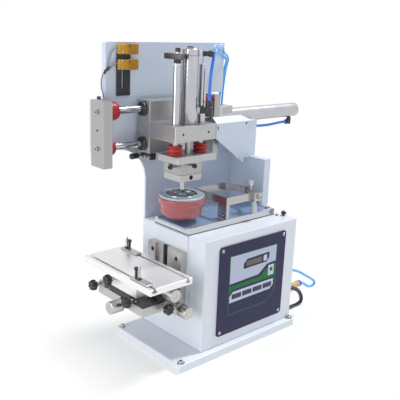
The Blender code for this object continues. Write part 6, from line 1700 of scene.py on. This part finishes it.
    def fit_deck(self) -> None:
        """Black cone knob and a small screw at the rear of the cabinet's top."""
        corner = Box.of("cabinet_shell").high
        knob, screw = ((x, corner.y + back, corner.z)
                       for x, back in (self.KNOB_PLACE, self.DECK_SCREW_PLACE))
        self.turned("deck_knob", knob, Way.UP, self.KNOB, BLACK)
        self.bolts("deck_screw", self.DECK_SCREW, screw, Way.UP, BLACK)


class Worktable(Assembly):
    """Clamps, knobs and screws of the worktable."""

    @dataclass(frozen=True)
    class Clamp:
        """One work clamp: its CAD node and body, and the X of its strap's end, screw and pin."""

        node: str
        body: str
        strap_left: float
        screw_x: float
        pin_x: float

    @dataclass(frozen=True)
    class Feed:
        """One turned knob: its CAD node, body, axis, black ring and whether it has a darker band of
        painted shade.
        """

        node: str
        body: str
        way: Way
        ring: float
        # whether the knob gets the band of painted shade
        scale: bool = False

    FEEDS = (
        Feed("table_feed_knob", "table_feed_handle", Way.RIGHT, 3.0),
        Feed("cross_feed_knob", "cross_feed_handle", Way.FRONT, 0.6),
        Feed("lift_knob", "lift_handle", Way.RIGHT, 1.4, True),
    )
    CLAMPS = (
        Clamp("work_clamp_near", "near_clamp", 31.0, 39.5, 48.5),
        Clamp("work_clamp_far", "far_clamp", -99.5, -81.5, -90.5),
    )
    STARS = (
        ("table_lock_knob", "table_lock", Way.FRONT),
        ("cross_lock_knob", "cross_lock", Way.FRONT),
        ("knee_lock_knob_front", "knee_lock_front", Way.FRONT),
        ("knee_lock_knob_side", "knee_lock_side", Way.RIGHT),
    )
    STRAP_LENGTH = 48.0
    STRAP_THICKNESS = 3.0
    STRAP_LIFT = 0.3
    THREAD_LENGTH = 15.0
    THREAD_RADIUS = 2.4
    THREAD_DEPTH = 0.22
    CLAMP_SCREW = Screw(4.0, 4.5, 0.35, 0.5)
    PIN = ((2.6, 0.0), (2.6, 20.6), (2.1, 22.2), (1.2, 22.6))
    COLLAR = ((4.2, -SEAT), (4.2, 1.8), (3.8, 2.6), (2.9, 3.4))
    SLOT_NECK = 4.8
    SLOT_FOOT = 10.0
    SLOT_LAYER = 4.0
    SLOT_PLAY = 0.6
    HOLE_SCREW = Screw(4.0, 5.5, 0.12, 0.55)
    HOLE_SPACING = 69.4
    HOLE_DROP = 14.0
    HOLE_DEPTH = 10.0
    WAY_SHIFT = 3.5
    KEYWAY_WIDTH = 12.2
    KEYWAY_DEPTH = 11.0
    STAR_LOBES = 7
    STAR_SHARE = 0.22
    STAR_RADIUS = 10.2
    STAR_THICKNESS = 11.0
    STAR_SCREW = Screw(2.6, 0.4, 0.2, 0.5)
    STEM_LENGTH = 9.5
    STEM_RADIUS = 3.5
    KNOB_RADIUS = 11.8
    KNOB_LENGTH = 26.5
    SPINDLE_RADIUS = 6.4
    SHADE_BAND = (6.2, 13.6)  # where the band of painted shade starts and ends along the knob
    STOP_INSET = 17.0
    STOP_DROP = 2.6
    STOP_PIN = ((1.6, -1.0), (1.6, 5.6), (1.2, 6.0))
    STOP_COLLAR = ((2.5, -SEAT), (2.5, 1.6), (2.0, 2.0))

    def build(self) -> None:
        """Make every piece."""
        for clamp in self.CLAMPS:
            self.make_clamp(clamp)
        for node, body, way in self.STARS:
            self.make_star(node, body, way)
        for feed in self.FEEDS:
            self.make_feed(feed)
        self.fill_bracket()
        slide = Box.of("cross_slide")
        stop = (slide.high.x - self.STOP_INSET, slide.low.y, slide.high.z - self.STOP_DROP)
        self.turned("stop_pin", stop, Way.FRONT, self.STOP_PIN, STAINLESS, body="cross_body")
        self.turned("stop_collar", stop, Way.FRONT, self.STOP_COLLAR, BLACK, body="cross_body")

    def make_clamp(self, clamp: Clamp) -> None:
        """Strap, headed screw, upright pin with its collar, and the T-nut in the slot."""
        node, body, x = clamp.node, clamp.body, clamp.screw_x
        box = Box.of(node)
        table = Box.of("table_top").high.z
        y = box.middle.y
        seat = table + self.STRAP_LIFT
        top = seat + self.STRAP_THICKNESS
        self.boxed(f"{node}_strap", (clamp.strap_left, box.low.y, seat),
                   (clamp.strap_left + self.STRAP_LENGTH, box.high.y, top), BRUSHED_X, 0.7, node,
                   body)
        thread = np.linspace(0, self.THREAD_LENGTH, 46)
        ribs = self.THREAD_RADIUS + self.THREAD_DEPTH * np.abs(np.sin(thread * math.pi))
        self.turned(f"{node}_screw", (x, y, top), Way.UP,
                    [(self.THREAD_RADIUS, -SEAT), *np.column_stack([ribs, thread]).tolist()],
                    BLACK_STEEL, body=body)
        self.bolts(f"{node}_head", self.CLAMP_SCREW, (x, y, top + self.THREAD_LENGTH - SEAT),
                   Way.UP, BLACK, body)
        pin = (clamp.pin_x, y, top)
        self.turned(f"{node}_pin", pin, Way.UP, self.PIN, STEEL, body=body)
        self.turned(f"{node}_collar", pin, Way.UP, self.COLLAR, BLACK, body=body)
        half = self.SLOT_FOOT / 2 - self.SLOT_PLAY
        neck = self.SLOT_NECK / 2 - self.SLOT_PLAY
        high = table - self.SLOT_LAYER - self.SLOT_PLAY
        low = table - 2 * self.SLOT_LAYER + self.SLOT_PLAY
        self.boxed(f"{node}_nut", (x - 7.0, y - half, low), (x + 7.0, y + half, high),
                   BLACK_STEEL, body=body)
        self.boxed(f"{node}_nut_neck", (x - 6.0, y - neck, high - SEAT),
                   (x + 6.0, y + neck, seat + SEAT), BLACK_STEEL, 0.2, body=body)

    def make_star(self, node: str, body: str, way: Way) -> None:
        """A lobed black knob on a steel stem, with a screw in its middle.

        Args:
            node: the CAD node that it stands for.
            body: the body that it rides on.
            way: its axis, away from its seat.
        """
        box = Box.of(node)
        seat = box.seat(way)
        if way is Way.FRONT:
            seat.x = self.lobed_middle(box.low.x, box.high.x)
        else:
            seat.y = self.lobed_middle(box.low.y, box.high.y)
        radius = self.STAR_RADIUS
        foot = self.STEM_LENGTH
        length = foot + self.STAR_THICKNESS
        profile = [(radius * 0.42, foot - 1.2), (radius * 0.50, foot), (radius * 0.86, foot),
                   (radius * 0.96, foot + 1.2), (radius, foot + 2.8), (radius, length - 3.4),
                   (radius * 0.965, length - 1.6), (radius * 0.88, length - 0.3),
                   (radius * 0.62, length), (radius * 0.50, length - 1.0),
                   (radius * 0.40, length - 1.2)]
        self.turned(f"{node}_star", seat, way, profile, BLACK, self.STAR_LOBES * 16, node, body,
                    wave=self.star_wave, sharp=45.0)
        self.turned(f"{node}_stem", seat, way,
                    [(self.STEM_RADIUS, 0.0), (self.STEM_RADIUS, foot - 0.4)], STAINLESS,
                    body=body)
        self.bolts(f"{node}_middle", self.STAR_SCREW, seat + Vector(way.value) * (length - 1.2),
                   way, BLACK_STEEL, body)

    def lobed_middle(self, low: float, high: float) -> float:
        """Axis of a star knob between two limits of its box.

        With an odd number of lobes, the lobe tip on one side is a full radius away and the other
        side is nearer, so a narrow box has its axis a radius from its high limit.
        """
        narrow = high - low < 2 * self.STAR_RADIUS - 0.1
        return high - self.STAR_RADIUS if narrow else (low + high) / 2

    def star_wave(self, turn: np.ndarray) -> np.ndarray:
        """Share of the full radius round a star knob: broad lobes with narrow hollows."""
        hollow = 0.5 - 0.5 * np.cos(self.STAR_LOBES * turn)
        return 1.0 - self.STAR_SHARE * hollow ** 1.4

    def make_feed(self, feed: Feed) -> None:
        """A turned aluminium knob with grooves, a dark ring and its spindle."""
        node, body, way = feed.node, feed.body, feed.way
        box = Box.of(node)
        seat = box.seat(way)
        length = box.size.y if way is Way.FRONT else box.size.x
        start = length - self.KNOB_LENGTH
        radius = self.KNOB_RADIUS
        profile = [(radius * 0.80, start), (radius * 0.96, start + 0.4), (radius, start + 1.4),
                   (radius, start + 4.8), (radius - 0.5, start + 5.1),
                   (radius - 0.5, start + 5.7), (radius, start + 6.0), (radius, length - 1.6),
                   (radius * 0.985, length - 0.6), (radius * 0.94, length - 0.1),
                   (radius * 0.90, length), (radius * 0.88, length - 0.3),
                   (radius * 0.20, length - 0.4), (radius * 0.16, length - 1.2)]
        self.turned(f"{node}_turned", seat, way, profile, KNOB, GREAT, node, body)
        spindle = self.SPINDLE_RADIUS
        self.turned(f"{node}_spindle", seat, way,
                    [(spindle, 0.0), (spindle, start * 0.62), (spindle * 0.86, start * 0.66),
                     (spindle * 0.86, start + SEAT)], BRUSHED_X, MIDDLE, body=body)
        near, edge = start - feed.ring, feed.ring * 0.2
        self.turned(f"{node}_ring", seat, way,
                    [(spindle * 0.8, near), (spindle * 1.42, near),
                     (spindle * 1.50, near + edge), (spindle * 1.50, start - edge),
                     (spindle * 1.42, start), (spindle * 0.8, start)], BLACK, MIDDLE, body=body,
                    ring=True)
        # Painted shade: a darker band round the lift knob, where shade falls on it.
        if feed.scale:
            low, high = (start + mark for mark in self.SHADE_BAND)
            self.turned(f"{node}_shade_band", seat, way, band(radius - 0.3, radius + SKIN, low, high),
                        DARK_STEEL, GREAT, body=body, ring=True)

    def fill_bracket(self) -> None:
        """Cap screws in the bracket's two counterbores, and a near-black skin of painted shade on the
        floor of its keyway.
        """
        bracket = Box.of("table_bracket")
        places = [(bracket.middle.x + side * self.HOLE_SPACING / 2,
                   bracket.low.y + self.HOLE_DEPTH, bracket.high.z - self.HOLE_DROP)
                  for side in (-1, 1)]
        # Cap screws deep in the counterbores, near-black: their own black together with the
        # counterbores' painted shade.
        self.bolts("bracket_screws", self.HOLE_SCREW, places, Way.FRONT, RECESS_SHADE)
        # Painted shade: the keyway's floor gets a thin near-black skin for the shade in the recess.
        middle = bracket.middle.x - self.WAY_SHIFT
        half = self.KEYWAY_WIDTH / 2
        floor = bracket.low.y + self.KEYWAY_DEPTH
        self.boxed("keyway_floor_shade", (middle - half, floor - SKIN, bracket.low.z + SEAT),
                   (middle + half, floor + SEAT, bracket.high.z - SEAT), RECESS_SHADE, SKIN / 4)


class BasePlate(Assembly):
    """Corner bolts with washers on the base plate."""

    BOLT = Screw(4.6, 4.0, 0.35, 0.5)
    WASHER = (7.0, 1.0)  # its radius and height
    INSET = 8.5

    def build(self) -> None:
        """Add the bolts that stand clear of the cabinet."""
        cabinet = Box.of("cabinet_shell")
        places = [(x, y, z) for x, y, z in corners(Box.of("base_plate"), self.INSET)
                  if x > cabinet.high.x or y < cabinet.low.y]
        self.washered("base", self.BOLT, places, Way.UP, self.WASHER, MIDDLE)


class RearPneumatics(Assembly):
    """Brass inlet with its nut and blue release collet, behind the cabinet, and two collets."""

    INLET = (  # rows are shares of the inlet's radius and length
        ("inlet_body", BRASS, "air_inlet", ((0.62, 0.0), (0.62, 0.20), (0.74, 0.22),
                                            (0.74, 0.30), (0.60, 0.32), (0.60, 0.38))),
        ("inlet_nut", BRASS, "", ((0.94, 0.37, 1), (1.0, 0.385, 1), (1.0, 0.56, 1),
                                  (0.94, 0.575, 1))),
        ("inlet_neck", BRASS, "", ((0.52, 0.57), (0.52, 0.84), (0.60, 0.85), (0.60, 0.90))),
        ("inlet_collet", BLUE, "", ((0.44, 0.89), (0.44, 0.94), (0.56, 0.95), (0.56, 0.995),
                                    (0.40, 1.0))),
    )
    SUPPLY_COLLET = ((6.2, -1.2), (6.2, 3.0), (5.0, 3.8), (4.4, 6.2), (4.0, 6.6))
    SHUTTLE_COLLET = ((5.8, -1.0), (5.8, 2.6), (4.6, 3.4))

    def build(self) -> None:
        """Make the inlet in place of its plain solid, and the collets at two lines' ends."""
        box = Box.of("air_inlet")
        for name, finish, node, rows in self.INLET:
            profile = [(radius * box.size.x / 2, length * box.size.y, *hexagon)
                       for radius, length, *hexagon in rows]
            self.turned(name, box.seat(Way.BACK), Way.BACK, profile, finish, MIDDLE, node)
        self.turned("supply_collet", AirLines.SUPPLY[-1], Way.BACK, self.SUPPLY_COLLET, BLUE)
        self.turned("shuttle_collet", AirLines.SHUTTLE[-1], Way.BACK, self.SHUTTLE_COLLET, BLACK)


class Dresser:
    """Gives every CAD node that shows its finish."""

    NODES = {
        # the paler copy of the powder coat, with painted light
        PAINT_LIT: ("base_plate", "cabinet_shell"),
        PAINT: ("side_wall", "rear_column", "rear_cover", "upper_panel"),
        BLACK_STEEL: ("sensor_bracket", "cross_slide"),
        BRUSHED_X: ("table_bracket", "knee"),
        BRUSHED_Y: ("carriage_housing", "head_block", "slide_plate", "pad_holder"),
        BRUSHED_Z: ("rail_plate_front", "rail_plate_rear", "slide_block"),
        STEEL: ("rail_rod_upper", "rail_rod_lower", "shuttle_piston_rod", "lift_rod_front",
                "lift_rod_rear"),
        TRAY: ("ink_tray",),
        PLATE: ("printing_plate",),
        STAINLESS: ("cup_holder",),
        TABLE: ("table_top",),
        NAVY: ("panel_key_1", "panel_key_2", "panel_key_3", "panel_key_4"),
        BLACK: ("power_button",),
    }

    def __init__(self, finisher: Finisher) -> None:
        """Dress the nodes with materials from the finisher."""
        for finish, nodes in self.NODES.items():
            for node in nodes:
                thing = frame["nodes"][node]
                thing.data.materials.clear()
                thing.data.materials.append(finisher.material(finish))


def main() -> None:
    """Make the studio, the lines and every dressed piece."""
    logging.basicConfig(level=logging.INFO, format="%(message)s")
    Studio()
    finisher = Finisher()
    for assembly in (AirLines, ControlPanel, Rails, Shuttle, LiftCylinder, TripBar, PadGroup,
                     StrokeSensors, RearHousing, InkDeck, Worktable, BasePlate, RearPneumatics):
        assembly(finisher)
    Dresser(finisher)


if __name__ == "__main__":
    main()
